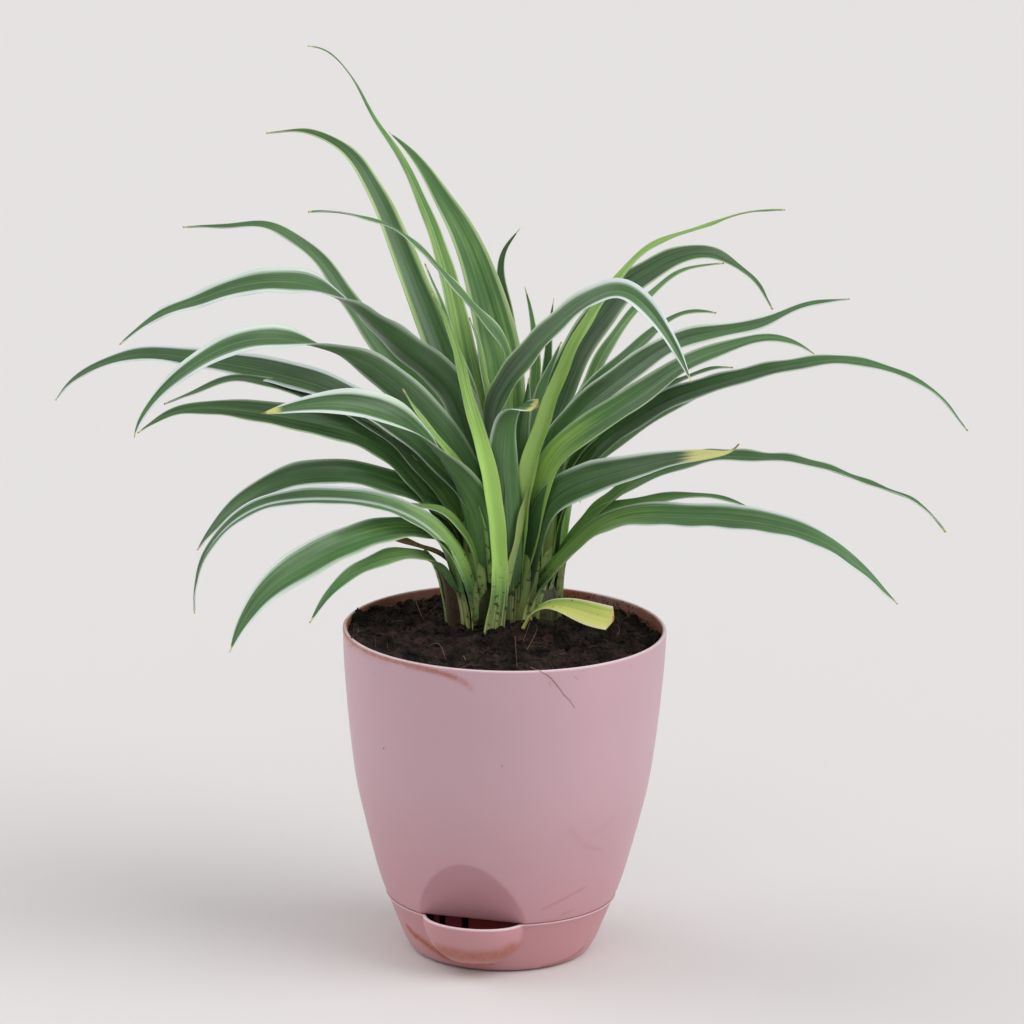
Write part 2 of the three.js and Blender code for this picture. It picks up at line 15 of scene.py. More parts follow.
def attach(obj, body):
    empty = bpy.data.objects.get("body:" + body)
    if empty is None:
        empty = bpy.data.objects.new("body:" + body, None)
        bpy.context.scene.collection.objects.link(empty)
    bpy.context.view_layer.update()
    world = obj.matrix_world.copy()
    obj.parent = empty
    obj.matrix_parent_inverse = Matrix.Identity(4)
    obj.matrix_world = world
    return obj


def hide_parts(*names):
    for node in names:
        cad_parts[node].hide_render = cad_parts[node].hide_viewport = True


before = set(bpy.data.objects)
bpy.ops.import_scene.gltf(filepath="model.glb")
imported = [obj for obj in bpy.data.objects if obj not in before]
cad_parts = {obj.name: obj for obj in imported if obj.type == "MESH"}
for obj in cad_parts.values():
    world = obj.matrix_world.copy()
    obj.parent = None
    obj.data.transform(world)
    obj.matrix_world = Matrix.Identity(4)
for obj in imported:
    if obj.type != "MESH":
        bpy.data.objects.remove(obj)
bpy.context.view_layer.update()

MM = 0.001

# ---------------------------------------------------------------- camera
# A long lens a good two metres away, looking down on the rim.
PHOTO_SIDE = 1024
FOCAL_PIXELS = 6471.0
CAMERA_AWAY = 2500.0
CAMERA_HIGH = 837.7
CAMERA_YAW = math.radians(0.051)
CAMERA_PITCH = math.radians(14.706)
CAMERA_ROLL = math.radians(0.866)


def make_camera():
    """The photograph's view, from the camera's place, its turns and its lens."""
    forward = np.array([
        math.sin(CAMERA_YAW) * math.cos(CAMERA_PITCH),
        math.cos(CAMERA_YAW) * math.cos(CAMERA_PITCH),
        -math.sin(CAMERA_PITCH),
    ])
    level = np.array([math.cos(CAMERA_YAW), -math.sin(CAMERA_YAW), 0.0])
    upright = np.cross(level, forward)
    right = level * math.cos(CAMERA_ROLL) + upright * math.sin(CAMERA_ROLL)
    up = upright * math.cos(CAMERA_ROLL) - level * math.sin(CAMERA_ROLL)
    lens = bpy.data.cameras.new("camera")
    lens.sensor_width = 36.0
    lens.lens = FOCAL_PIXELS / PHOTO_SIDE * lens.sensor_width
    lens.clip_start = 0.1
    lens.clip_end = 30.0
    camera = add_object("camera", lens)
    columns = [right, up, -forward, np.array([0.0, -CAMERA_AWAY, CAMERA_HIGH]) * MM]
    camera.matrix_world = Matrix([*np.stack(columns, 1).tolist(), [0, 0, 0, 1]])
    bpy.context.scene.camera = camera


# ---------------------------------------------------------------- small tools
def colour(hex_code):
    """An sRGB hex colour as Blender's linear RGBA."""
    values = [int(hex_code[i:i + 2], 16) / 255 for i in (1, 3, 5)]
    return (*[v / 12.92 if v <= 0.04045 else ((v + 0.055) / 1.055) ** 2.4 for v in values], 1.0)


def add_node(tree, kind, inputs=None, **settings):
    """Adds a node. inputs maps a socket's name or number to a constant, a socket, or a node,
    which gives its first output.
    """
    made = tree.nodes.new(kind)
    for name, value in settings.items():
        setattr(made, name, value)
    for key, value in (inputs or {}).items():
        if isinstance(value, bpy.types.Node):
            value = value.outputs[0]
        if isinstance(value, bpy.types.NodeSocket):
            tree.links.new(value, made.inputs[key])
        else:
            made.inputs[key].default_value = value
    return made


def new_material(name):
    """An empty node material: its tree, its Principled shader and itself."""
    material = bpy.data.materials.new(name)
    material.use_nodes = True
    tree = material.node_tree
    tree.nodes.clear()
    shader = add_node(tree, "ShaderNodeBsdfPrincipled")
    add_node(tree, "ShaderNodeOutputMaterial", {"Surface": shader})
    return tree, shader, material


def add_object(name, data):
    """A new object in the scene, and what it holds."""
    made = bpy.data.objects.new(name, data)
    bpy.context.scene.collection.objects.link(made)
    return made


def carry(mesh, label, values):
    """Gives each point of the mesh its float or its vector."""
    values = np.asarray(values, np.float32)
    kind, field = ("FLOAT_VECTOR", "vector") if values.ndim == 2 else ("FLOAT", "value")
    mesh.attributes.new(label, kind, "POINT").data.foreach_set(field, values.ravel())


def mesh_object(name, points, faces, material, carried=None):
    """A smooth mesh from points in millimetres, with what its points carry by label."""
    mesh = bpy.data.meshes.new(name)
    mesh.from_pydata((np.asarray(points, float) * MM).tolist(), [], faces)
    for label, values in (carried or {}).items():
        carry(mesh, label, values)
    mesh.materials.append(material)
    mesh.polygons.foreach_set("use_smooth", [True] * len(mesh.polygons))
    mesh.validate()
    return add_object(name, mesh)


def worked_object(name, work):
    """A finished bmesh as an object."""
    mesh = bpy.data.meshes.new(name)
    work.to_mesh(mesh)
    work.free()
    return add_object(name, mesh)


def ring_quads(rings, count):
    """Quads from each ring of points to the next, where every ring has count points."""
    quads = []
    for low in range(0, (rings - 1) * count, count):
        for j in range(count):
            k = (j + 1) % count
            quads.append((low + j, low + k, low + count + k, low + count + j))
    return quads


def point_outwards(mesh):
    """Merges doubles and turns each closed surface's faces outwards."""
    work = bmesh.new()
    work.from_mesh(mesh)
    bmesh.ops.remove_doubles(work, verts=work.verts, dist=1e-6)
    bmesh.ops.recalc_face_normals(work, faces=work.faces)
    work.to_mesh(mesh)
    work.free()


def plain_mesh(made):
    """Puts the evaluated object's mesh in place of its modifiers."""
    graph = bpy.context.evaluated_depsgraph_get()
    final = bpy.data.meshes.new_from_object(
        made.evaluated_get(graph), preserve_all_data_layers=True, depsgraph=graph
    )
    made.modifiers.clear()
    made.data = final


def joined(name, pieces):
    """Several mesh objects as one."""
    work = bmesh.new()
    materials = []
    for piece in pieces:
        before = len(work.faces)
        work.from_mesh(piece.data)
        work.faces.ensure_lookup_table()
        for material in piece.data.materials:
            if material not in materials:
                materials.append(material)
        slots = [materials.index(material) for material in piece.data.materials]
        for face in work.faces[before:]:
            face.material_index = slots[min(face.material_index, len(slots) - 1)]
    made = worked_object(name, work)
    for material in materials:
        made.data.materials.append(material)
    for piece in pieces:
        bpy.data.objects.remove(piece)
    return made


def node_tree(name, sockets, result):
    """A Geometry Nodes tree with inputs of these names and kinds and one output, and its inputs' sockets."""
    tree = bpy.data.node_groups.new(name, "GeometryNodeTree")
    for label, kind in sockets.items():
        tree.interface.new_socket(label, in_out="INPUT", socket_type="NodeSocket" + kind)
    tree.interface.new_socket(result, in_out="OUTPUT", socket_type="NodeSocketGeometry")
    return tree, add_node(tree, "NodeGroupInput").outputs


def through_nodes(made, tree, inputs):
    """Runs the object through the tree with these inputs, and leaves it a plain mesh."""
    nodes = made.modifiers.new("nodes", "NODES")
    nodes.node_group = tree
    for socket in tree.interface.items_tree:
        if socket.name in inputs:
            nodes[socket.identifier] = inputs[socket.name]
    plain_mesh(made)


def keep(piece, slot, *nodes):
    """The piece rides with the plant and stands for the nodes. The slot is not used."""
    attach(piece, "root")
    if nodes:
        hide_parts(*nodes)


def smooth_line(points, per_span=24):
    """A Catmull-Rom curve through the points, ends carried on straight."""
    path = np.asarray(points, float)
    path = np.vstack([2 * path[0] - path[1], path, 2 * path[-1] - path[-2]])
    spans = []
    for i in range(1, len(path) - 2):
        t = np.linspace(0, 1, per_span, endpoint=False)[:, None]
        a, b, c, d = path[i - 1:i + 3]
        spans.append(0.5 * (2 * b + (c - a) * t + (2 * a - 5 * b + 4 * c - d) * t ** 2
                            + (3 * b - a - 3 * c + d) * t ** 3))
    return np.vstack([*spans, path[-2][None]])


def evenly(path, step):
    """The path's points and lengths again, a step apart."""
    lengths = np.concatenate([[0], np.cumsum(np.linalg.norm(np.diff(path, axis=0), axis=1))])
    wanted = np.linspace(0, lengths[-1], max(3, int(round(lengths[-1] / step)) + 1))
    return np.stack([np.interp(wanted, lengths, path[:, k]) for k in range(path.shape[1])], 1), wanted


def eased(path, sigma):
    """The path with its small wobbles smoothed away over sigma samples; its ends stay."""
    path = np.asarray(path, float)
    reach = min(int(3 * sigma), len(path) - 1)
    kernel = np.exp(-0.5 * (np.arange(-reach, reach + 1) / sigma) ** 2)
    kernel /= kernel.sum()
    before = 2 * path[0] - path[reach:0:-1]
    after = 2 * path[-1] - path[-2:-reach - 2:-1]
    long = np.concatenate([before, path, after])
    return np.stack([np.convolve(long[:, k], kernel, mode="valid") for k in range(path.shape[1])], 1)


def ramp(value, low, high):
    """Smoothly from 0 at low to 1 at high."""
    t = np.clip((np.asarray(value, float) - low) / (high - low), 0, 1)
    return t * t * (3 - 2 * t)


# ---------------------------------------------------------------- materials
# A colour Mix node's sockets by number: the upper colour's share, the lower and the upper colour, and the
# result.
SHARE, LOWER, UPPER, MIXED = 0, 6, 7, 2


def moulded_polypropylene():
    """Injection-moulded polypropylene in dusty pink: satin, with a fine orange-peel skin.

    Soil stains are rubbed over it. Attributes say how stained, gritty and warm it is, where painted shade
    darkens it and where a painted highlight pales its edges.
    """
    tree, shader, material = new_material("moulded polypropylene")
    place = add_node(tree, "ShaderNodeTexCoord").outputs["Object"]
    marks = {
        name: add_node(tree, "ShaderNodeAttribute", attribute_name=name).outputs["Fac"]
        for name in ("stain", "grime", "warmth", "painted_shade", "painted_highlight")
    }
    clouds = add_node(tree, "ShaderNodeTexNoise", {"Vector": place, "Scale": 25.0, "Detail": 3.0})
    patches = add_node(tree, "ShaderNodeTexNoise", {
        "Vector": place, "Scale": 420.0, "Detail": 4.0, "Roughness": 0.6,
    })
    broken = add_node(tree, "ShaderNodeMapRange", {
        "Value": patches.outputs["Fac"], "From Min": 0.3, "From Max": 0.62, "To Min": 0.62, "To Max": 1.0,
    })
    stain = add_node(tree, "ShaderNodeMath", {
        0: marks["stain"], 1: broken.outputs["Result"],
    }, operation="MULTIPLY", use_clamp=True)
    specks = add_node(tree, "ShaderNodeTexNoise", {"Vector": place, "Scale": 900.0, "Detail": 2.0})
    dirt = add_node(tree, "ShaderNodeMath", {0: specks.outputs["Fac"], 1: marks["grime"]}, operation="ADD")
    dark = add_node(tree, "ShaderNodeMapRange", {
        "Value": dirt, "From Min": 1.02, "From Max": 1.12, "To Max": 0.9,
    })
    surface = colour("#c4a2ae")
    for share, code in (
        # Broad clouds, 40 mm across, where the pigment differs a little.
        (clouds, "#cca6af"),
        # Low down and inside, light off the ground and off other walls makes it warmer.
        (marks["warmth"], "#c18c91"),
        # Painted shade: in the recess, the filling mouth, inside the pot and under it, light only comes off
        # other pink walls, so the plastic is painted a darker wine red.
        (marks["painted_shade"], "#8a3a3c"),
        # A painted highlight pales the thin top edges of the rim and the tray's lip.
        (marks["painted_highlight"], "#efd9de"),
        # Orange-brown stains of wet compost, a little patchy at 2 mm.
        (stain, "#a35c37"),
        # Crumbs of compost dried on as dark specks, about a millimetre each.
        (dark, "#32201b"),
    ):
        surface = add_node(tree, "ShaderNodeMix", {
            SHARE: share, LOWER: surface, UPPER: colour(code),
        }, data_type="RGBA").outputs[MIXED]
    tree.links.new(surface, shader.inputs["Base Color"])
    rough = add_node(tree, "ShaderNodeMapRange", {
        "Value": clouds.outputs["Fac"], "From Min": 0.3, "From Max": 0.7, "To Min": 0.36, "To Max": 0.44,
    })
    duller = add_node(tree, "ShaderNodeMath", {
        0: stain, 1: 0.25, 2: rough.outputs["Result"],
    }, operation="MULTIPLY_ADD")
    tree.links.new(duller.outputs[0], shader.inputs["Roughness"])
    shader.inputs["IOR"].default_value = 1.49
    shader.inputs["Subsurface Weight"].default_value = 0.08
    shader.inputs["Subsurface Radius"].default_value = (0.002, 0.001, 0.001)
    # The mould's skin is 0.3 mm grain, drawn at 0.8 mm so that it shows.
    skin = add_node(tree, "ShaderNodeTexNoise", {"Vector": place, "Scale": 1300.0, "Detail": 2.0})
    bump = add_node(tree, "ShaderNodeBump", {
        "Height": skin.outputs["Fac"], "Strength": 0.12, "Distance": 0.0002,
    })
    tree.links.new(bump.outputs[0], shader.inputs["Normal"])
    return material


def potting_compost(name, damp, dry):
    """Potting compost of peat and coir: nearly black where damp and matt, with red-brown lumps
    and a few paler crumbs.
    """
    tree, shader, material = new_material(name)
    place = add_node(tree, "ShaderNodeTexCoord").outputs["Object"]
    # Lumps 8 mm across differ in dampness, and grains under 1 mm differ in kind.
    lumps, grains = [
        add_node(tree, "ShaderNodeTexNoise", {
            "Vector": place, "Scale": scale, "Detail": 4.0, "Roughness": rough,
        })
        for scale, rough in ((125.0, 0.6), (1500.0, 0.7))
    ]
    tint = add_node(tree, "ShaderNodeValToRGB", {"Fac": lumps.outputs["Fac"]})
    for element, position, code in zip(tint.color_ramp.elements, (0.42, 0.74), (damp, dry)):
        element.position = position
        element.color = colour(code)
    pale = add_node(tree, "ShaderNodeMapRange", {
        "Value": grains.outputs["Fac"], "From Min": 0.58, "From Max": 0.74, "To Max": 0.5,
    })
    mixed = add_node(tree, "ShaderNodeMix", {
        SHARE: pale.outputs["Result"], LOWER: tint.outputs["Color"], UPPER: colour("#5e4236"),
    }, data_type="RGBA")
    tree.links.new(mixed.outputs[MIXED], shader.inputs["Base Color"])
    shader.inputs["Roughness"].default_value = 0.95
    shader.inputs["Specular IOR Level"].default_value = 0.15
    bump = add_node(tree, "ShaderNodeBump", {
        "Height": grains.outputs["Fac"], "Strength": 0.9, "Distance": 0.0008,
    })
    tree.links.new(bump.outputs[0], shader.inputs["Normal"])
    return material


def coir_fibre(name, dark, pale):
    """Coconut husk fibre and dead root: dry, thin, straw to red-brown."""
    tree, shader, material = new_material(name)
    place = add_node(tree, "ShaderNodeTexCoord").outputs["Object"]
    shift = add_node(tree, "ShaderNodeTexNoise", {"Vector": place, "Scale": 120.0, "Detail": 2.0})
    tint = add_node(tree, "ShaderNodeValToRGB", {"Fac": shift.outputs["Fac"]})
    for element, position, code in zip(tint.color_ramp.elements, (0.38, 0.62), (dark, pale)):
        element.position = position
        element.color = colour(code)
    tree.links.new(tint.outputs["Color"], shader.inputs["Base Color"])
    shader.inputs["Roughness"].default_value = 0.75
    return material


def leaf_skin(name, greens, margins, under, yellow, brown, roughness):
    """A spider plant leaf: parallel veins under a thin wax, pale margins, a duller underside.

    Veins are 0.5 mm apart, drawn at about 1 mm so that they show. Attributes carried by the blade give its
    tone with painted light and shade and how far that leans to one edge, margin width and whiteness (partly
    a painted bluish highlight), pale band, age and specks; section is (share across, top or underside).
    greens runs from old and shaded to young and lit, margins from greenish to white.
    """
    tree, shader, material = new_material(name)
    blade = {
        label: add_node(tree, "ShaderNodeAttribute", attribute_name=label).outputs["Fac"]
        for label in ("along", "seed", "tone_and_shade", "lean", "margin", "white", "band", "age", "specks")
    }
    section = add_node(tree, "ShaderNodeSeparateXYZ", {
        0: add_node(tree, "ShaderNodeAttribute", attribute_name="section").outputs["Vector"],
    })
    across = section.outputs["X"]
    streak_place = add_node(tree, "ShaderNodeCombineXYZ", {
        0: add_node(tree, "ShaderNodeMath", {0: across, 1: 6.5}, operation="MULTIPLY"),
        1: add_node(tree, "ShaderNodeMath", {0: blade["along"], 1: 0.012}, operation="MULTIPLY"),
        2: blade["seed"],
    })
    streaks = add_node(tree, "ShaderNodeTexNoise", {
        "Vector": streak_place, "Scale": 1.0, "Detail": 2.5, "Roughness": 0.55,
    })
    veins = add_node(tree, "ShaderNodeTexNoise", {
        "Vector": streak_place, "Scale": 2.6, "Detail": 2.0, "Roughness": 0.5,
    })
    cloud_place = add_node(tree, "ShaderNodeCombineXYZ", {
        0: across,
        1: add_node(tree, "ShaderNodeMath", {0: blade["along"], 1: 0.04}, operation="MULTIPLY"),
        2: blade["seed"],
    })
    clouds = add_node(tree, "ShaderNodeTexNoise", {"Vector": cloud_place, "Scale": 1.0, "Detail": 3.0})
    shift = add_node(tree, "ShaderNodeMath", {0: streaks.outputs["Fac"], 1: 0.5}, operation="SUBTRACT")
    # Green: the blade's tone with its painted light and shade, shifted by its streaks and clouds.
    lift = add_node(tree, "ShaderNodeMath", {0: shift, 1: 0.7, 2: blade["tone_and_shade"]}, operation="MULTIPLY_ADD")
    leaned = add_node(tree, "ShaderNodeMath", {
        0: across, 1: blade["lean"], 2: lift,
    }, operation="MULTIPLY_ADD")
    shifted = add_node(tree, "ShaderNodeMath", {
        0: add_node(tree, "ShaderNodeMath", {0: clouds.outputs["Fac"], 1: 0.5}, operation="SUBTRACT"),
        1: 0.4,
        2: leaned,
    }, operation="MULTIPLY_ADD", use_clamp=True)
    green = add_node(tree, "ShaderNodeValToRGB", {"Fac": shifted})
    green.color_ramp.elements.new(0.5)
    for element, code in zip(green.color_ramp.elements, greens):
        element.color = colour(code)
    # Pale bands: the margins, and on some leaves the floor of the channel, with feathered inner edges.
    edge = add_node(tree, "ShaderNodeMath", {0: across}, operation="ABSOLUTE")
    feather = add_node(tree, "ShaderNodeMath", {0: shift, 1: 0.3, 2: edge}, operation="MULTIPLY_ADD")
    beyond = add_node(tree, "ShaderNodeMath", {
        0: add_node(tree, "ShaderNodeMath", {0: feather, 1: blade["margin"]}, operation="ADD"), 1: 1.0,
    }, operation="SUBTRACT")
    rimmed = add_node(tree, "ShaderNodeMapRange", {
        "Value": beyond, "From Min": -0.17, "From Max": 0.12,
    }, interpolation_type="SMOOTHSTEP")
    within = add_node(tree, "ShaderNodeMath", {0: blade["band"], 1: edge}, operation="SUBTRACT")
    banded = add_node(tree, "ShaderNodeMapRange", {
        "Value": within, "From Min": -0.06, "From Max": 0.16, "To Max": 0.7,
    }, interpolation_type="SMOOTHSTEP")
    pale = add_node(tree, "ShaderNodeMath", {
        0: rimmed.outputs["Result"], 1: banded.outputs["Result"],
    }, operation="MAXIMUM")
    margin = add_node(tree, "ShaderNodeMix", {
        SHARE: blade["white"], LOWER: colour(margins[0]), UPPER: colour(margins[1]),
    }, data_type="RGBA")
    # The underside has less wax and less green.
    below = add_node(tree, "ShaderNodeMapRange", {
        "Value": section.outputs["Y"], "From Min": 0.1, "From Max": -0.1, "To Max": 0.3,
    })
    # Age: yellow first, then dry brown, running up the veins.
    spread_age = add_node(tree, "ShaderNodeMath", {
        0: shift, 1: 0.6, 2: blade["age"],
    }, operation="MULTIPLY_ADD")
    yellowing, drying = [
        add_node(tree, "ShaderNodeMapRange", {
            "Value": spread_age, "From Min": start, "From Max": full,
        }, interpolation_type="SMOOTHSTEP")
        for start, full in ((0.22, 0.52), (0.75, 0.97))
    ]
    # Specks of compost and small brown scars, about 1 mm, low on the plant.
    place = add_node(tree, "ShaderNodeTexCoord").outputs["Object"]
    scars = add_node(tree, "ShaderNodeTexNoise", {"Vector": place, "Scale": 420.0, "Detail": 3.0})
    mud = add_node(tree, "ShaderNodeMath", {0: scars.outputs["Fac"], 1: blade["specks"]}, operation="ADD")
    speckled = add_node(tree, "ShaderNodeMapRange", {
        "Value": mud, "From Min": 1.0, "From Max": 1.1, "To Max": 0.85,
    })
    surface = green.outputs["Color"]
    for share, over in (
        (pale, margin.outputs[MIXED]),
        (below, colour(under)),
        (yellowing, colour(yellow)),
        (drying, colour(brown)),
        (speckled, colour("#3a281d")),
    ):
        surface = add_node(tree, "ShaderNodeMix", {
            SHARE: share, LOWER: surface, UPPER: over,
        }, data_type="RGBA").outputs[MIXED]
    tree.links.new(surface, shader.inputs["Base Color"])
    gloss = add_node(tree, "ShaderNodeMapRange", {
        "Value": veins.outputs["Fac"], "From Min": 0.3, "From Max": 0.7, "To Min": roughness - 0.05,
        "To Max": roughness + 0.07,
    })
    tree.links.new(gloss.outputs["Result"], shader.inputs["Roughness"])
    shader.inputs["IOR"].default_value = 1.45
    shader.inputs["Subsurface Weight"].default_value = 0.3
    shader.inputs["Subsurface Radius"].default_value = (0.0015, 0.0025, 0.0008)
    # Wax bloom scatters a little bluish light at a low angle.
    shader.inputs["Sheen Weight"].default_value = 0.07
    shader.inputs["Sheen Roughness"].default_value = 0.4
    shader.inputs["Sheen Tint"].default_value = colour("#e6f0f4")
    ribs = add_node(tree, "ShaderNodeBump", {
        "Height": veins.outputs["Fac"], "Strength": 0.3, "Distance": 0.0004,
    })
    tree.links.new(ribs.outputs[0], shader.inputs["Normal"])
    return material


PLASTIC = moulded_polypropylene()
COMPOST = potting_compost("damp coir compost", "#1f1a18", "#4a3a36")
CLOD = potting_compost("dry peat clod", "#2c201e", "#5c403b")
FIBRE = coir_fibre("coir fibre", "#33261f", "#6e5641")
ROOT = coir_fibre("fine root", "#80594a", "#a98270")
# Living blades: waxy and supple, green with cream margins.
LIVING = leaf_skin("spider plant leaf", ("#344a2e", "#5d864f", "#b4da76"), ("#aeca80", "#e4edee"), "#628258",
    "#d6d58a", "#94764c", 0.36)
# Leaf bases: thick, paler and duller than the blades, going papery and brown as they die.
SHEATH = leaf_skin("leaf sheath", ("#3d3f24", "#839a4e", "#b8d07e"), ("#adbf80", "#cfd6b8"), "#7f8b54",
    "#b9b478", "#4a3626", 0.45)
# The cut leaf: its green is fading to straw yellow, and its wax has dulled.
YELLOWED = leaf_skin("yellowed leaf", ("#8cae4c", "#ccd36c", "#eae690"), ("#e4e0a8", "#f3edcc"), "#c6c56c",
    "#dcd283", "#a8763c", 0.42)
# The dead leaf: matt brown paper, its veins still showing.
DRIED = leaf_skin("dried leaf", ("#2e2119", "#57402c", "#8a6a45"), ("#7c6342", "#a58a5e"), "#4a3828",
    "#8b6d45", "#3c2a1e", 0.7)


# ---------------------------------------------------------------- planter
# The part's own sizes. Outsides are (radius, height).
RIM = 134.0
SEAM = 23.0
POT_FOOT = 23.5
TRAY_TOP = 23.4
EDGE = 0.4
WALL = 1.8
LIP_WALL = 1.3
GAP = 0.3
FLOOR = 26.0
POT_OUTSIDE = [(46.2, POT_FOOT), (47.9, 27.5), (50.6, 36), (55, 53), (58.8, 69.5), (61.2, 86), (63, 103),
    (64.4, 120), (65, RIM)]
TRAY_OUTSIDE = [(33.6, 0), (36.1, 1.1), (38, 3.6), (40.1, 8), (42, 13), (44.05, 18), (44.9, 20.2),
    (46.6, TRAY_TOP)]
MOUTH_AZIMUTH = math.radians(-105.7)
RECESS_FOOT = 40.4
RECESS_LEAN = 0.503
RECESS_TOP = 57.0
LIP_CENTRE = 38.0
LIP_OUT = 16.0
LIP_ACROSS = 21.0
LIP_DEEP = 19.5
CUP_RADIUS = 22.0
CUP_BOTTOM = 4.0
CUP_SLOTS = 7
SLOT_WIDE = 3.0
SLOT_LOW = 7.0
SLOT_HIGH = 20.0
# The slotted wall behind the filling mouth: its distance from the axis, then the stops along and up it
# between which its cells lie, and the row and column of each open cell.
SCREEN_AWAY = 33.0
SCREEN_THICK = 1.4
SCREEN_STOPS = [-18.5, -16.0, -13.6, -6.7, -3.9, 18.5]
SCREEN_RISE = [9.0, 11.0, 22.0, 25.0]
SCREEN_SLOTS = [(1, 1), (1, 3)]

# How softly the recess meets the body and the lip meets the tray, outside and inside.
RECESS_SHARP, RECESS_SHARP_INSIDE = 0.35, 1.5
LIP_SHARP, LIP_SHARP_INSIDE = 0.6, 1.2
# Above this height the inside of the pot's wall can be seen over the soil.
WALL_SHOWS = 118.0
# The recess's plane isn't met by an azimuth whose cosine to it is under GLANCING: it is FAR_AWAY.
GLANCING = 0.2
FAR_AWAY = 1e3

# Azimuths round the planter, closer together near the filling mouth, where the shape changes fast.
MOUTH_HALF = math.radians(42)
MOUTH_COLUMNS = 190
REST_COLUMNS = 150
ROUND = MOUTH_AZIMUTH + np.concatenate([
    np.linspace(-MOUTH_HALF, MOUTH_HALF, MOUTH_COLUMNS, endpoint=False),
    np.linspace(MOUTH_HALF, 2 * math.pi - MOUTH_HALF, REST_COLUMNS, endpoint=False),
])
FROM_MOUTH = (ROUND - MOUTH_AZIMUTH + math.pi) % (2 * math.pi) - math.pi


def soft_least(a, b, blend):
    """The smaller of two lengths, rounded off where they are within blend of each other."""
    h = np.maximum(blend - np.abs(a - b), 0) / blend
    return np.minimum(a, b) - h * h * blend / 4


def soft_most(a, b, blend):
    """The larger of two lengths, rounded off in the same way."""
    return -soft_least(-np.asarray(a, float), -np.asarray(b, float), blend)


def turned_grid(rows):
    """Points and quads of a shape turned round Z, from rows of (radii by azimuth, height).

    A radius of 0 closes an end.
    """
    count = len(ROUND)
    points = []
    faces = []
    starts = []
    for radii, height in rows:
        radii = np.broadcast_to(np.asarray(radii, float), count)
        starts.append(len(points))
        if radii.max() <= 0:
            points.append((0.0, 0.0, float(np.mean(height))))
        else:
            heights = np.broadcast_to(np.asarray(height, float), count)
            points.extend(zip(radii * np.cos(ROUND), radii * np.sin(ROUND), heights))
    starts.append(len(points))
    for i in range(len(rows) - 1):
        a, b = starts[i], starts[i + 1]
        single_a, single_b = b - a == 1, starts[i + 2] - b == 1
        for j in range(count):
            k = (j + 1) % count
            if single_a:
                faces.append((a, b + k, b + j))
            elif single_b:
                faces.append((a + j, a + k, b))
            else:
                faces.append((a + j, a + k, b + k, b + j))
    return points, faces


def pot_profile(z):
    """The pot's outside radius by height, away from the recess."""
    curve = smooth_line(POT_OUTSIDE)
    return np.interp(z, curve[:, 1], curve[:, 0])


def recess_face(z, shift, from_mouth=FROM_MOUTH):
    """Radius at which each azimuth meets the flat recess, far away where it doesn't."""
    cosine = np.cos(from_mouth)
    away = RECESS_FOOT + shift + (z - SEAM) * RECESS_LEAN
    return np.where(cosine > GLANCING, away / np.maximum(cosine, GLANCING), FAR_AWAY)


def pot_outside(z):
    """The pot's outside radius by azimuth, with its recess."""
    return soft_least(pot_profile(z), recess_face(z, 0), RECESS_SHARP)


def pot_inside(z):
    """The radius of the inside of its wall."""
    return soft_least(pot_profile(z) - WALL, recess_face(z, -WALL), RECESS_SHARP_INSIDE)


def lip_reach(z, wall):
    """Radius at which each azimuth leaves the lip's bowl, 0 where it misses it."""
    part = 1 - ((z - SEAM) / (LIP_DEEP - wall)) ** 2
    if part <= 0:
        return np.zeros(len(ROUND))
    a = (LIP_OUT - wall) * math.sqrt(part)
    b = (LIP_ACROSS - wall) * math.sqrt(part)
    c, s = np.cos(FROM_MOUTH), np.sin(FROM_MOUTH)
    square = c * c / a ** 2 + s * s / b ** 2
    linear = -2 * LIP_CENTRE * c / a ** 2
    rest = LIP_CENTRE ** 2 / a ** 2 - 1
    under = linear ** 2 - 4 * square * rest
    reach = (-linear + np.sqrt(np.maximum(under, 0))) / (2 * square)
    return np.where((under > 0) & (c > 0), reach, 0)


# Stains rubbed on the outside, as strokes of (degrees round from the front, height), half width, strength.
POT_STAINS = [
    ([(-97, 133.4), (-75, 133.1), (-59.7, 132.9), (-44.4, 132.8), (-29.8, 132.7), (-24, 132.2)], 0.65, 0.9),
    ([(-36, 132.5), (-27, 132.1), (-21, 131.3), (-17, 130.2)], 1.0, 0.85),
    ([(-20, 131), (-15.5, 129.6), (-13.4, 128.3)], 1.1, 0.5),
    ([(-17, 129.9), (-13.2, 128), (-11.6, 126.6)], 1.2, 0.26),
    ([(-92, 132.2), (-70, 131.6), (-45, 131.6)], 1.2, 0.16),
    ([(20.3, 30.2), (33.2, 34.7), (41.1, 37.1)], 0.6, 0.3),
    ([(31, 26.3), (37, 27.2)], 0.7, 0.22),
    ([(28, 65), (36, 57), (46, 53)], 0.9, 0.14),
    ([(38, 60), (50, 66)], 0.8, 0.1),
    ([(104, 131), (120, 132), (140, 131)], 1.4, 0.4),
]
TRAY_STAINS = [
    ([(-62, 13), (-57.8, 11), (-52.2, 10.2), (-46.6, 8.4), (-41, 7), (-37, 5.6), (-32, 5.2), (-27.5, 4.9),
        (-20.3, 5.2), (-14.5, 5.6), (-5.5, 5.4)], 1.4, 1.0),
    ([(-50, 9.6), (-44, 7.8)], 2.1, 0.6),
    ([(-29, 11), (-24, 11.4), (-16, 11), (-6, 11), (1.5, 12), (5.5, 13.5)], 2.8, 0.75),
    ([(28, 1.2), (31.5, 1.2), (45.8, 2.4), (59.8, 5.3)], 1.0, 0.5),
    ([(160, 5), (190, 4)], 1.4, 0.4),
]
# Specks of compost dried on the pot: degrees round from the front, height, radius.
POT_SPECKS = [(-49.5, 93.7, 0.8), (-42.4, 95.5, 0.6), (-0.2, 93.6, 0.9), (-70, 60, 0.5), (150, 80, 0.8),
    (170, 105, 0.6), (-140, 70, 0.7), (100, 50, 0.6)]


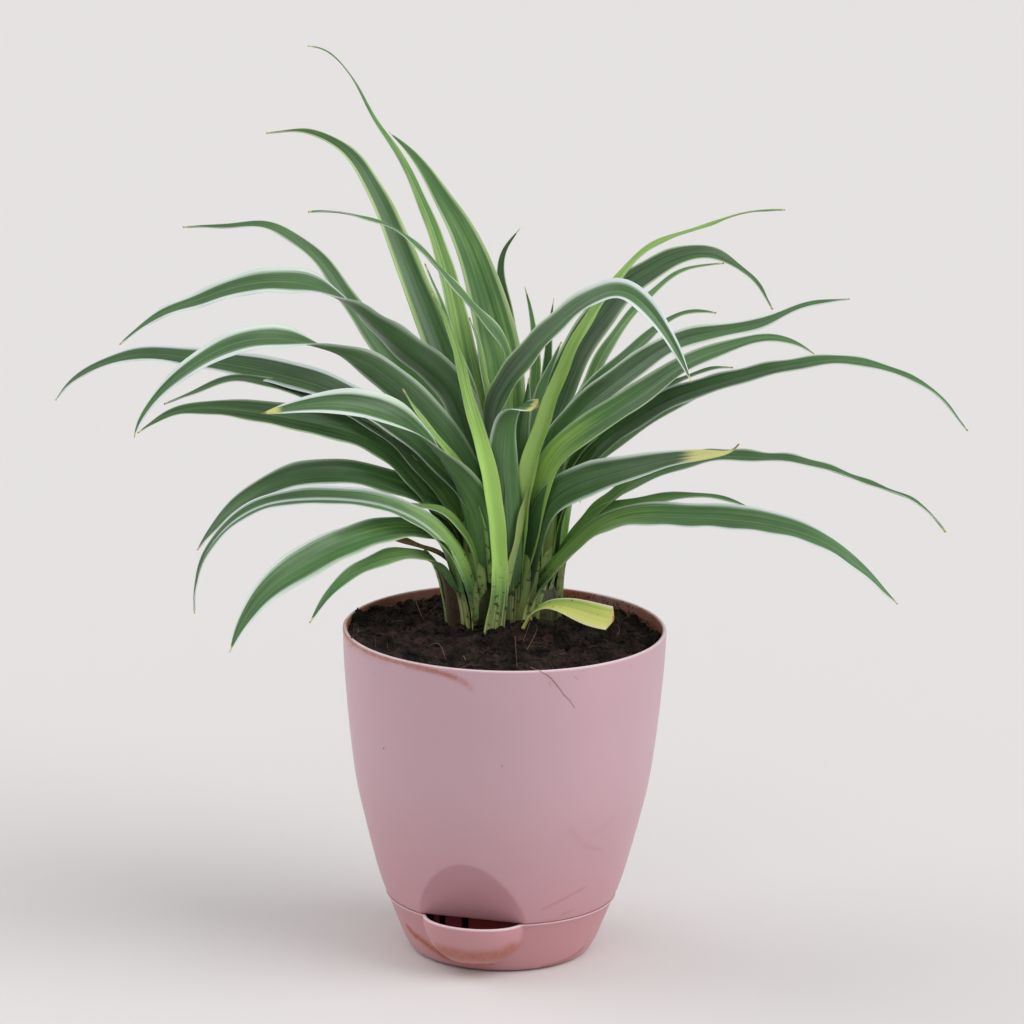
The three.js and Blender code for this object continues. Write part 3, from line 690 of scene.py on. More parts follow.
def stroke_marks(points, strokes):
    """How strongly each point is stained by the strokes, 0 to 1."""
    x, y, z = np.asarray(points, float).T
    turn = np.degrees(np.arctan2(x, -y))
    reach = np.maximum(np.hypot(x, y), 1e-6)
    marks = np.zeros(len(x))
    for path, half, strength in strokes:
        line, _ = evenly(smooth_line(path), 0.6)
        # A stroke may cross the back, where the degrees start again.
        for offset in (-360, 0):
            away = np.full(len(x), FAR_AWAY)
            for angle, height in line:
                gap = np.radians(turn - angle - offset) * reach
                away = np.minimum(away, np.hypot(gap, z - height))
            marks = np.maximum(marks, strength * (1 - ramp(away, half * 0.3, half * 1.8)))
    return marks


def speck_marks(points, specks):
    """How dark each point is from the specks, 0 to 1."""
    x, y, z = np.asarray(points, float).T
    turn = np.arctan2(x, -y)
    reach = np.hypot(x, y)
    marks = np.zeros(len(x))
    for angle, height, radius in specks:
        gap = (turn - math.radians(angle) + math.pi) % (2 * math.pi) - math.pi
        away = np.hypot(gap * reach, z - height)
        marks = np.maximum(marks, 1 - ramp(away, radius * 0.5, radius * 1.4))
    return marks


def wick_cup():
    """The slotted cup under the pot's floor, which reaches down into the water."""
    sides = np.radians(np.arange(0, 360, 5))
    profile = [
        (0, CUP_BOTTOM), (CUP_RADIUS - 1.2, CUP_BOTTOM), (CUP_RADIUS - 0.3, CUP_BOTTOM + 0.3),
        (CUP_RADIUS, CUP_BOTTOM + 1.2), (CUP_RADIUS, FLOOR - 1), (CUP_RADIUS - WALL, FLOOR - 1),
        (CUP_RADIUS - WALL, CUP_BOTTOM + WALL), (0, CUP_BOTTOM + WALL),
    ]
    points = [(r * math.cos(t), r * math.sin(t), z) for r, z in profile for t in sides]
    cup = mesh_object("wick_cup", points, ring_quads(len(profile), len(sides)), PLASTIC)
    point_outwards(cup.data)
    size = Matrix.Diagonal((3 * CUP_RADIUS * MM, SLOT_WIDE * MM, (SLOT_HIGH - SLOT_LOW) * MM, 1))
    height = Matrix.Translation((0, 0, (SLOT_HIGH + SLOT_LOW) / 2 * MM))
    for i in range(CUP_SLOTS):
        turn = Matrix.Rotation(math.pi * i / CUP_SLOTS, 4, "Z")
        work = bmesh.new()
        bmesh.ops.create_cube(work, size=1.0, matrix=height @ turn @ size)
        cutter = worked_object("slot", work)
        cut = cup.modifiers.new("slot", "BOOLEAN")
        cut.object = cutter
        cut.operation = "DIFFERENCE"
        cut.solver = "EXACT"
        plain_mesh(cup)
        bpy.data.objects.remove(cutter)
    paint_shade_inside(cup)
    return cup


def mouth_screen():
    """The slotted wall that keeps roots out of the filling mouth: a sheet of cells, thickened."""
    away = np.array([math.cos(MOUTH_AZIMUTH), math.sin(MOUTH_AZIMUTH)])
    along = np.array([-away[1], away[0]])
    points = [(*(SCREEN_AWAY * away + t * along), z) for z in SCREEN_RISE for t in SCREEN_STOPS]
    wide = len(SCREEN_STOPS)
    faces = []
    for row in range(len(SCREEN_RISE) - 1):
        for column in range(wide - 1):
            if (row, column) not in SCREEN_SLOTS:
                corner = row * wide + column
                faces.append((corner, corner + 1, corner + wide + 1, corner + wide))
    screen = mesh_object("mouth_screen", points, faces, PLASTIC)
    for kind, settings in (
        ("SOLIDIFY", {"thickness": SCREEN_THICK * MM, "offset": 0.0}),
        ("BEVEL", {"width": 0.25 * MM, "segments": 2, "limit_method": "ANGLE"}),
    ):
        step = screen.modifiers.new(kind.lower(), kind)
        for label, value in settings.items():
            setattr(step, label, value)
    plain_mesh(screen)
    point_outwards(screen.data)
    paint_shade_inside(screen)
    return screen


def paint_shade_inside(piece):
    """Makes a piece in the reservoir flat-shaded, its plastic unstained, warm and darkened by painted shade.
    """
    piece.data.polygons.foreach_set("use_smooth", [False] * len(piece.data.polygons))
    for label, value in (("stain", 0.0), ("grime", 0.0), ("warmth", 1.0), ("painted_shade", 1.0), ("painted_highlight", 0.0)):
        carry(piece.data, label, np.full(len(piece.data.vertices), value))


def planter_pot():
    """The pot's shell, from the middle of its underside out, up, over the rim and down to its floor."""
    half = WALL / 2
    foot = pot_outside(POT_FOOT)
    rows = [(0, POT_FOOT)] + [(foot * share, POT_FOOT) for share in (0.5, 0.8, 0.95)]
    rows += [(foot - 0.3, POT_FOOT), (foot - 0.09, POT_FOOT + 0.09)]
    for low, high, step in (
        (POT_FOOT + 0.3, RECESS_TOP, 0.55), (RECESS_TOP, WALL_SHOWS, 2.2), (WALL_SHOWS, RIM - half, 0.9),
    ):
        rows += [(pot_outside(z), z) for z in np.arange(low, high, step)]
    middle = pot_profile(RIM) - half
    for turn in np.linspace(0, math.pi, 9):
        rows.append((middle + half * math.cos(turn), RIM - half + half * math.sin(turn)))
    for high, low, step in ((RIM - half - 0.9, 100, 0.9), (100, FLOOR + 1, 2.4)):
        rows += [(pot_inside(z), z) for z in np.arange(high, low, -step)]
    rows.append((pot_inside(FLOOR + 0.8), FLOOR + 0.8))
    inner = pot_inside(FLOOR)
    rows += [(inner - 0.8, FLOOR), (inner * 0.5, FLOOR), (0, FLOOR)]
    points, faces = turned_grid(rows)
    x, y, z = np.asarray(points).T
    reach = np.hypot(x, y)
    profile = pot_profile(z)
    outside = reach > profile - WALL * 0.7
    inside = (~outside) & (z > WALL_SHOWS)
    # Rust-coloured tide marks climb the inside wall over the soil.
    tide = np.array([
        noise.noise((0.05 * px, 0.05 * py, 3.0)) + 0.5 * noise.noise((0.3 * px, 0.3 * py, 0.1 * pz))
        for px, py, pz in points
    ])
    rust = np.clip(0.5 + 0.9 * tide + 0.5 * ramp(-x, 14, 52) + 0.4 * ramp(x, 40, 60), 0, 1)
    stain = np.where(outside, stroke_marks(points, POT_STAINS), 0)
    # Dried compost sticks in crumbs to the inside wall, most of it low down and at the back right.
    stuck = np.maximum(0.62 * (1 - ramp(z, 129.5, 133.2)), 0.46 * ramp(y, 10, 40) * ramp(x, 5, 25))
    grime = np.where(outside, speck_marks(points, POT_SPECKS), 0)
    # The recess faces down, away from the light: painted shade darkens it, more towards the top.
    recess_shade = (z < RECESS_TOP) * ramp(profile - reach, 0.12, 0.4)
    # Painted shade inside the pot over the soil, and on the pot's underside.
    painted_shade = np.where(inside, 0.3, 0.75 * (z < POT_FOOT + 0.05))
    shell = mesh_object("pot_shell", points, faces, PLASTIC, {
        "stain": np.where(inside, rust, stain),
        "grime": np.where(inside, stuck, grime),
        "warmth": np.clip(0.75 * (1 - ramp(z, 15, 95)) + 0.5 * inside, 0, 1),
        # Painted shade: the recess's, and that inside and under the pot.
        "painted_shade": np.maximum(painted_shade, recess_shade * (0.08 + 0.2 * ramp(z, POT_FOOT, 42))),
        # A painted highlight along the top edge of the rim.
        "painted_highlight": 0.75 * ramp(z, RIM - 0.7, RIM - 0.15),
    })
    point_outwards(shell.data)
    keep(joined("fine_pot", [shell, wick_cup(), mouth_screen()]), "pot", "planter_pot")


def water_tray():
    """The tray, from the middle of its underside out, up over its lip and down to its floor."""
    outline, _ = evenly(smooth_line(TRAY_OUTSIDE, 16), 0.6)
    # It stands on a ring, and its underside is 1 mm clear of the ground.
    rows = [(0, 1.0), (27, 1.0), (28, 0.6), (29, 0.0)]
    shoulder = TRAY_TOP - EDGE
    rows += [(soft_most(r, lip_reach(z, 0), LIP_SHARP), max(z, 0.0)) for r, z in outline if z <= shoulder]
    top = TRAY_OUTSIDE[-1][0]
    top_out = soft_most(top, lip_reach(TRAY_TOP, 0), LIP_SHARP)
    top_in = soft_most(top - WALL, lip_reach(TRAY_TOP, LIP_WALL), LIP_SHARP_INSIDE)
    top_in = np.minimum(top_in, top_out - 1.0)
    for start, middle in ((0, top_out - EDGE), (math.pi / 2, top_in + EDGE)):
        for turn in np.linspace(start, start + math.pi / 2, 5):
            rows.append((middle + EDGE * math.cos(turn), shoulder + EDGE * math.sin(turn)))
    for r, z in outline[::-1]:
        if WALL + 0.8 <= z <= shoulder - 0.5:
            rows.append((soft_most(r - WALL, lip_reach(z, LIP_WALL), LIP_SHARP_INSIDE), z))
    rows += [(33.5, WALL + 0.2), (32.5, WALL), (15, WALL), (0, WALL)]
    points, faces = turned_grid(rows)
    x, y, z = np.asarray(points).T
    reach = np.hypot(x, y)
    walls = np.interp(z, outline[:, 1], outline[:, 0])
    inside = (reach < walls - WALL * 0.6) & (z > WALL - 0.1)
    lip = ramp(reach - walls, -0.6, 0.6) * (y < 0)
    made = mesh_object("fine_tray", points, faces, PLASTIC, {
        "stain": np.where(inside, 0, stroke_marks(points, TRAY_STAINS)),
        "grime": np.zeros(len(points)),
        "warmth": np.ones(len(points)),
        # Painted shade inside the tray, and a painted highlight along the top of its lip.
        "painted_shade": 0.8 * inside,
        "painted_highlight": 0.85 * lip * ramp(z, TRAY_TOP - 0.9, TRAY_TOP - 0.2),
    })
    point_outwards(made.data)
    keep(made, "tray", "water_tray")


# ---------------------------------------------------------------- soil
# The height of the soil without its mound, its radius, and how finely its surface is divided.
SOIL_RIM = 129.0
SOIL_EDGE = 62.7
SOIL_COLUMNS = 400
SOIL_RINGS = 86


def soil_height(x, y):
    """The soil's height in the CAD: a mound under the crowns, tilted, with low lumps."""
    mound = 7 * math.exp(-((x - 2) ** 2 + (y - 18) ** 2) / 900)
    tilt = -0.03 * x - 0.02 * y
    lumps = 0.7 * math.sin(x * 0.31 + 1) * math.cos(y * 0.27) + 0.5 * math.sin(x * 0.13 - y * 0.19)
    return SOIL_RIM + mound + tilt + lumps


def rough_soil_height(x, y):
    """The same with clods about 7 mm across and crumbs of 2 mm, heaped and broken against the wall."""
    clods = noise.noise((x * 0.14, y * 0.14, 1.7))
    crumbs = noise.noise((x * 0.42, y * 0.42, 5.1))
    grit = noise.noise((x * 1.1, y * 1.1, 9.3))
    reach = math.hypot(x, y) / SOIL_EDGE
    ragged = 0.5 + 1.1 * noise.noise((x * 0.16, y * 0.16, 12.0)) + 0.5 * noise.noise((x * 0.5, y * 0.5, 15.0))
    heap = 3.2 * max(0.0, reach - 0.8) / 0.2 * max(0.0, ragged)
    hollow = -1.6 * max(0.0, 0.4 - abs(clods)) * max(0.0, -crumbs)
    return soil_height(x, y) + 2.2 * clods + 1.3 * crumbs + 0.6 * grit + heap + hollow - 0.8


def potting_soil():
    """The soil's whole body: rings from its edge in over the mound, then from its edge down to the cup."""
    turns = np.linspace(0, 2 * math.pi, SOIL_COLUMNS, endpoint=False)
    points = []
    for ring in range(SOIL_RINGS):
        reach = SOIL_EDGE * (1 - ring / SOIL_RINGS)
        for turn in turns:
            x, y = reach * math.cos(turn), reach * math.sin(turn)
            points.append((x, y, rough_soil_height(x, y)))
    tip = len(points)
    points.append((0, 0, rough_soil_height(0, 0)))
    faces = ring_quads(SOIL_RINGS, SOIL_COLUMNS)
    last = (SOIL_RINGS - 1) * SOIL_COLUMNS
    faces += [(last + j, last + (j + 1) % SOIL_COLUMNS, tip) for j in range(SOIL_COLUMNS)]
    # The body below: down the pot's wall, over its floor and into the wick cup.
    core = CUP_RADIUS - WALL - GAP
    below = [(62.5, 124), (61.3, 106), (59.4, 89), (57, 72), (52.8, 55), (47.4, 41), (42.5, 33),
        (38, FLOOR + GAP), (core, FLOOR + GAP), (core, CUP_BOTTOM + WALL + GAP)]
    start = len(points)
    for r, z in below:
        reach = np.minimum(r, recess_face(z, -WALL - GAP, turns - MOUTH_AZIMUTH))
        points.extend(zip(reach * np.cos(turns), reach * np.sin(turns), np.full(SOIL_COLUMNS, z)))
    end = len(points) - SOIL_COLUMNS
    points.append((0, 0, below[-1][1]))
    for j in range(SOIL_COLUMNS):
        k = (j + 1) % SOIL_COLUMNS
        faces.append((j, start + j, start + k, k))
        for a in range(start, end, SOIL_COLUMNS):
            b = a + SOIL_COLUMNS
            faces.append((a + j, b + j, b + k, a + k))
        faces.append((end + j, len(points) - 1, end + k))
    made = mesh_object("heaped_soil", points, faces, COMPOST)
    point_outwards(made.data)
    return made


# What is strewn over the soil, by the names of the tree's inputs. The first column names the pieces.
STREWN_SOCKETS = {
    "Piece": "Object", "Per square metre": "Float", "Seed": "Int", "Smallest": "Float", "Largest": "Float",
    "Lean": "Float", "Lumpiness": "Float", "Lump size": "Float", "Sink": "Float", "Finish": "Material",
    "Lowest": "Float",
}
STREWN = [
    ("crumbs_small", "crumb", 230000.0, 3, 0.5, 1.6, 1.0, 0.0009, 700.0, 0.0, COMPOST),
    ("crumbs_large", "crumb", 30000.0, 8, 1.6, 4.6, 1.0, 0.0024, 420.0, -0.0002, COMPOST),
    ("clods", "crumb", 900.0, 12, 3.0, 7.0, 1.0, 0.005, 240.0, -0.0006, CLOD),
    ("fibres", "fibre", 9000.0, 5, 0.35, 1.0, 0.5, 0.005, 130.0, 0.0003, FIBRE),
    ("bright_fibres", "fibre", 1500.0, 21, 0.4, 1.0, 0.9, 0.006, 130.0, 0.0004, ROOT),
]
# Nothing is strewn lower than this, in metres, because the soil's sides are under its surface.
STREWN_LOWEST = 0.12


def strewn_tree():
    """Geometry Nodes: crumbs or fibres strewn over the upward faces of a surface, none of them alike."""
    tree, given = node_tree("strewn over a surface", {"Surface": "Geometry", **STREWN_SOCKETS}, "Strewn")
    facing = add_node(tree, "ShaderNodeSeparateXYZ", {0: add_node(tree, "GeometryNodeInputNormal")})
    place = add_node(tree, "GeometryNodeInputPosition")
    height = add_node(tree, "ShaderNodeSeparateXYZ", {0: place})
    upward, high = [
        add_node(tree, "FunctionNodeCompare", {0: value, 1: least}, operation="GREATER_THAN")
        for value, least in ((facing.outputs["Z"], 0.15), (height.outputs["Z"], given["Lowest"]))
    ]
    wanted = add_node(tree, "FunctionNodeBooleanMath", {0: upward, 1: high}, operation="AND")
    spots = add_node(tree, "GeometryNodeDistributePointsOnFaces", {
        "Mesh": given["Surface"], "Selection": wanted,
        "Density": given["Per square metre"], "Seed": given["Seed"],
    })
    spin = add_node(tree, "FunctionNodeRandomValue", {
        "Min": (-1.0, -1.0, 0.0), "Max": (1.0, 1.0, 6.283), "Seed": given["Seed"],
    }, data_type="FLOAT_VECTOR")
    leaning = add_node(tree, "ShaderNodeCombineXYZ", {0: given["Lean"], 1: given["Lean"], 2: 1.0})
    turn = add_node(tree, "ShaderNodeVectorMath", {0: spin.outputs[0], 1: leaning}, operation="MULTIPLY")
    size = add_node(tree, "FunctionNodeRandomValue", {
        2: given["Smallest"], 3: given["Largest"], "Seed": given["Seed"],
    }, data_type="FLOAT")
    thing = add_node(tree, "GeometryNodeObjectInfo", {"Object": given["Piece"], "As Instance": True})
    copies = add_node(tree, "GeometryNodeInstanceOnPoints", {
        "Points": spots.outputs["Points"], "Instance": thing.outputs["Geometry"],
        "Rotation": turn, "Scale": size.outputs[1],
    })
    real = add_node(tree, "GeometryNodeRealizeInstances", {0: copies})
    lumps = add_node(tree, "ShaderNodeTexNoise", {
        "Vector": place, "Scale": given["Lump size"], "Detail": 1.0,
    })
    about = add_node(tree, "ShaderNodeVectorMath", {
        0: lumps.outputs["Color"], 1: (0.5, 0.5, 0.5),
    }, operation="SUBTRACT")
    push = add_node(tree, "ShaderNodeVectorMath", {0: about, "Scale": given["Lumpiness"]}, operation="SCALE")
    down = add_node(tree, "ShaderNodeCombineXYZ", {2: given["Sink"]})
    moved = add_node(tree, "ShaderNodeVectorMath", {0: push, 1: down}, operation="ADD")
    lumpy = add_node(tree, "GeometryNodeSetPosition", {"Geometry": real, "Offset": moved})
    finished = add_node(tree, "GeometryNodeSetMaterial", {"Geometry": lumpy, "Material": given["Finish"]})
    add_node(tree, "NodeGroupOutput", {0: finished})
    return tree


def lump_shape():
    """A crumb of compost, 1 mm across before it is sized."""
    work = bmesh.new()
    bmesh.ops.create_icosphere(work, subdivisions=1, radius=0.5 * MM)
    for vertex in work.verts:
        vertex.co.z *= 0.7
    return worked_object("crumb", work)


def tube(name, path, radii, material, sides=6):
    """A thin closed tube through the points, its radius given along it."""
    path, lengths = evenly(smooth_line(path, 12), 0.8)
    radii = np.interp(lengths / lengths[-1], np.linspace(0, 1, len(radii)), radii)
    tangent = np.gradient(path, axis=0)
    tangent /= np.linalg.norm(tangent, axis=1)[:, None]
    side = np.cross(tangent, [0.3, 0.2, 0.93])
    side /= np.linalg.norm(side, axis=1)[:, None]
    other = np.cross(tangent, side)
    points = [
        centre + radius * (math.cos(2 * math.pi * j / sides) * a + math.sin(2 * math.pi * j / sides) * b)
        for centre, radius, a, b in zip(path, radii, side, other) for j in range(sides)
    ]
    faces = ring_quads(len(path), sides)
    faces += [tuple(range(sides))[::-1], tuple(range(len(points) - sides, len(points)))]
    made = mesh_object(name, points, faces, material)
    point_outwards(made.data)
    return made


def fibre_shape():
    """A curved fibre, 10 mm long before it is sized."""
    path = [
        (10 * t - 5, 1.6 * math.sin(t * 3.0), 1.4 * math.sin(t * math.pi) - 0.3)
        for t in (0, 0.25, 0.5, 0.75, 1)
    ]
    return tube("fibre", path, [0.03, 0.08, 0.07, 0.03], FIBRE, 4)


# Single roots that catch the eye: radius along it, then its points.
LOOSE_ROOTS = [
    ([0.1, 0.08, 0.05], [(-51.1, -21.6, 128), (-51.3, -21.8, 131.5), (-51.2, -22.4, 134.4)]),
    ([0.08, 0.06, 0.03], [(-46.8, -19.9, 128), (-46.6, -20.2, 131.5), (-46.9, -20.6, 133.6)]),
    ([0.07, 0.1, 0.08, 0.05], [(-30, -16, 130), (-27.7, -19.5, 132.2), (-25.2, -26.9, 133),
        (-23.1, -34.6, 129.5)]),
    ([0.11, 0.09, 0.06, 0.05], [(3.8, -14, 133.5), (4.2, -17.5, 134.6), (4.6, -30, 132.6),
        (5.1, -43.4, 129.6)]),
    ([0.06, 0.08, 0.06], [(-37.6, 45, 130), (-36.6, 38, 135), (-35.7, 30.7, 134), (-32.7, 20.4, 130)]),
    ([0.1, 0.15, 0.05], [(-17, -36, 129.5), (-16.2, -38, 132.4), (-15.2, -41, 131)]),
    ([0.05, 0.07, 0.05], [(9, -4, 134), (10, -7.5, 138), (8.6, -10, 134), (7.6, -13, 132)]),
    ([0.05, 0.075, 0.05], [(12, -3, 136), (13, -8, 136), (11.4, -14, 133), (9, -22, 131)]),
]
# The root hair that hangs out over the rim: its points inside the pot, then degrees from the front and
# height outside, and its radius along it.
RIM_ROOT_INSIDE = [(10.5, -44, 130), (12.2, -54, 131.8), (13, -59.6, 133.4), (13.7, -62.9, 134.25)]
RIM_ROOT_OUTSIDE = [(13.6, 133.2), (16.1, 131.3), (19.3, 126.9), (21.5, 123.5), (23.6, 121), (25.9, 117.5)]
RIM_ROOT_RADII = [0.14, 0.12, 0.1, 0.1, 0.1, 0.18, 0.1, 0.08, 0.07]


def loose_roots():
    """The single roots and the one over the rim, as separate tubes."""
    pieces = [tube("root", path, radii, ROOT, 5) for radii, path in LOOSE_ROOTS]
    outside = []
    for degrees, z in RIM_ROOT_OUTSIDE:
        reach, turn = pot_profile(z) + 0.12, math.radians(degrees)
        outside.append((reach * math.sin(turn), -reach * math.cos(turn), z))
    pieces.append(tube("root", RIM_ROOT_INSIDE + outside, RIM_ROOT_RADII, ROOT))
    return pieces


def dress_soil():
    """The soil with everything strewn over it and its loose roots, as one piece."""
    soil = potting_soil()
    tree = strewn_tree()
    shapes = {"crumb": lump_shape(), "fibre": fibre_shape()}
    pieces = []
    for name, piece, *sizes in STREWN:
        made = add_object(name, soil.data.copy())
        through_nodes(made, tree, dict(zip(STREWN_SOCKETS, [shapes[piece], *sizes, STREWN_LOWEST])))
        pieces.append(made)
    for shape in shapes.values():
        bpy.data.objects.remove(shape)
    keep(joined("compost_with_fibres", [soil, *pieces, *loose_roots()]), "soil", "potting_soil")


# ---------------------------------------------------------------- leaves
BLADE_THICK = 0.8
DRIED_THICK = 0.7
TIP_WIDTH = 0.5
STATION = 1.8
SECTION_POINTS = 24
# A leaf is this share of its width at its base, and its base clasps the crown, folded up this far.
BASE_WIDTH = 0.86
CLASP_FOLD = 46
# Leaf bases go this far down into the soil, except where a leaf lies loose or starts high.
BURIED = 9.0
SHORT_LEAVES = ("yellow_leaf", "dried_leaf", "leaf_left_13", "leaf_top_05", "leaf_top_06")
# Millimetres from a leaf's base between which its margins get their width, which the short cut leaf's do
# sooner, its specks end, the painted shade of its foot ends, and the bright green of young growth ends.
MARGINS_GROW = (18, 85)
CUT_MARGINS_GROW = (3, 12)
SPECKS_END = (18, 85)
FOOT_SHADE_ENDS = (13, 38)
YOUNG_ENDS = (45, 125)
# How much brighter young growth is, how much darker the painted shade of the foot is, and the margin share
# that shows none.
YOUNG_BRIGHT = 0.42
FOOT_SHADE = 0.5
NO_MARGIN = -0.16

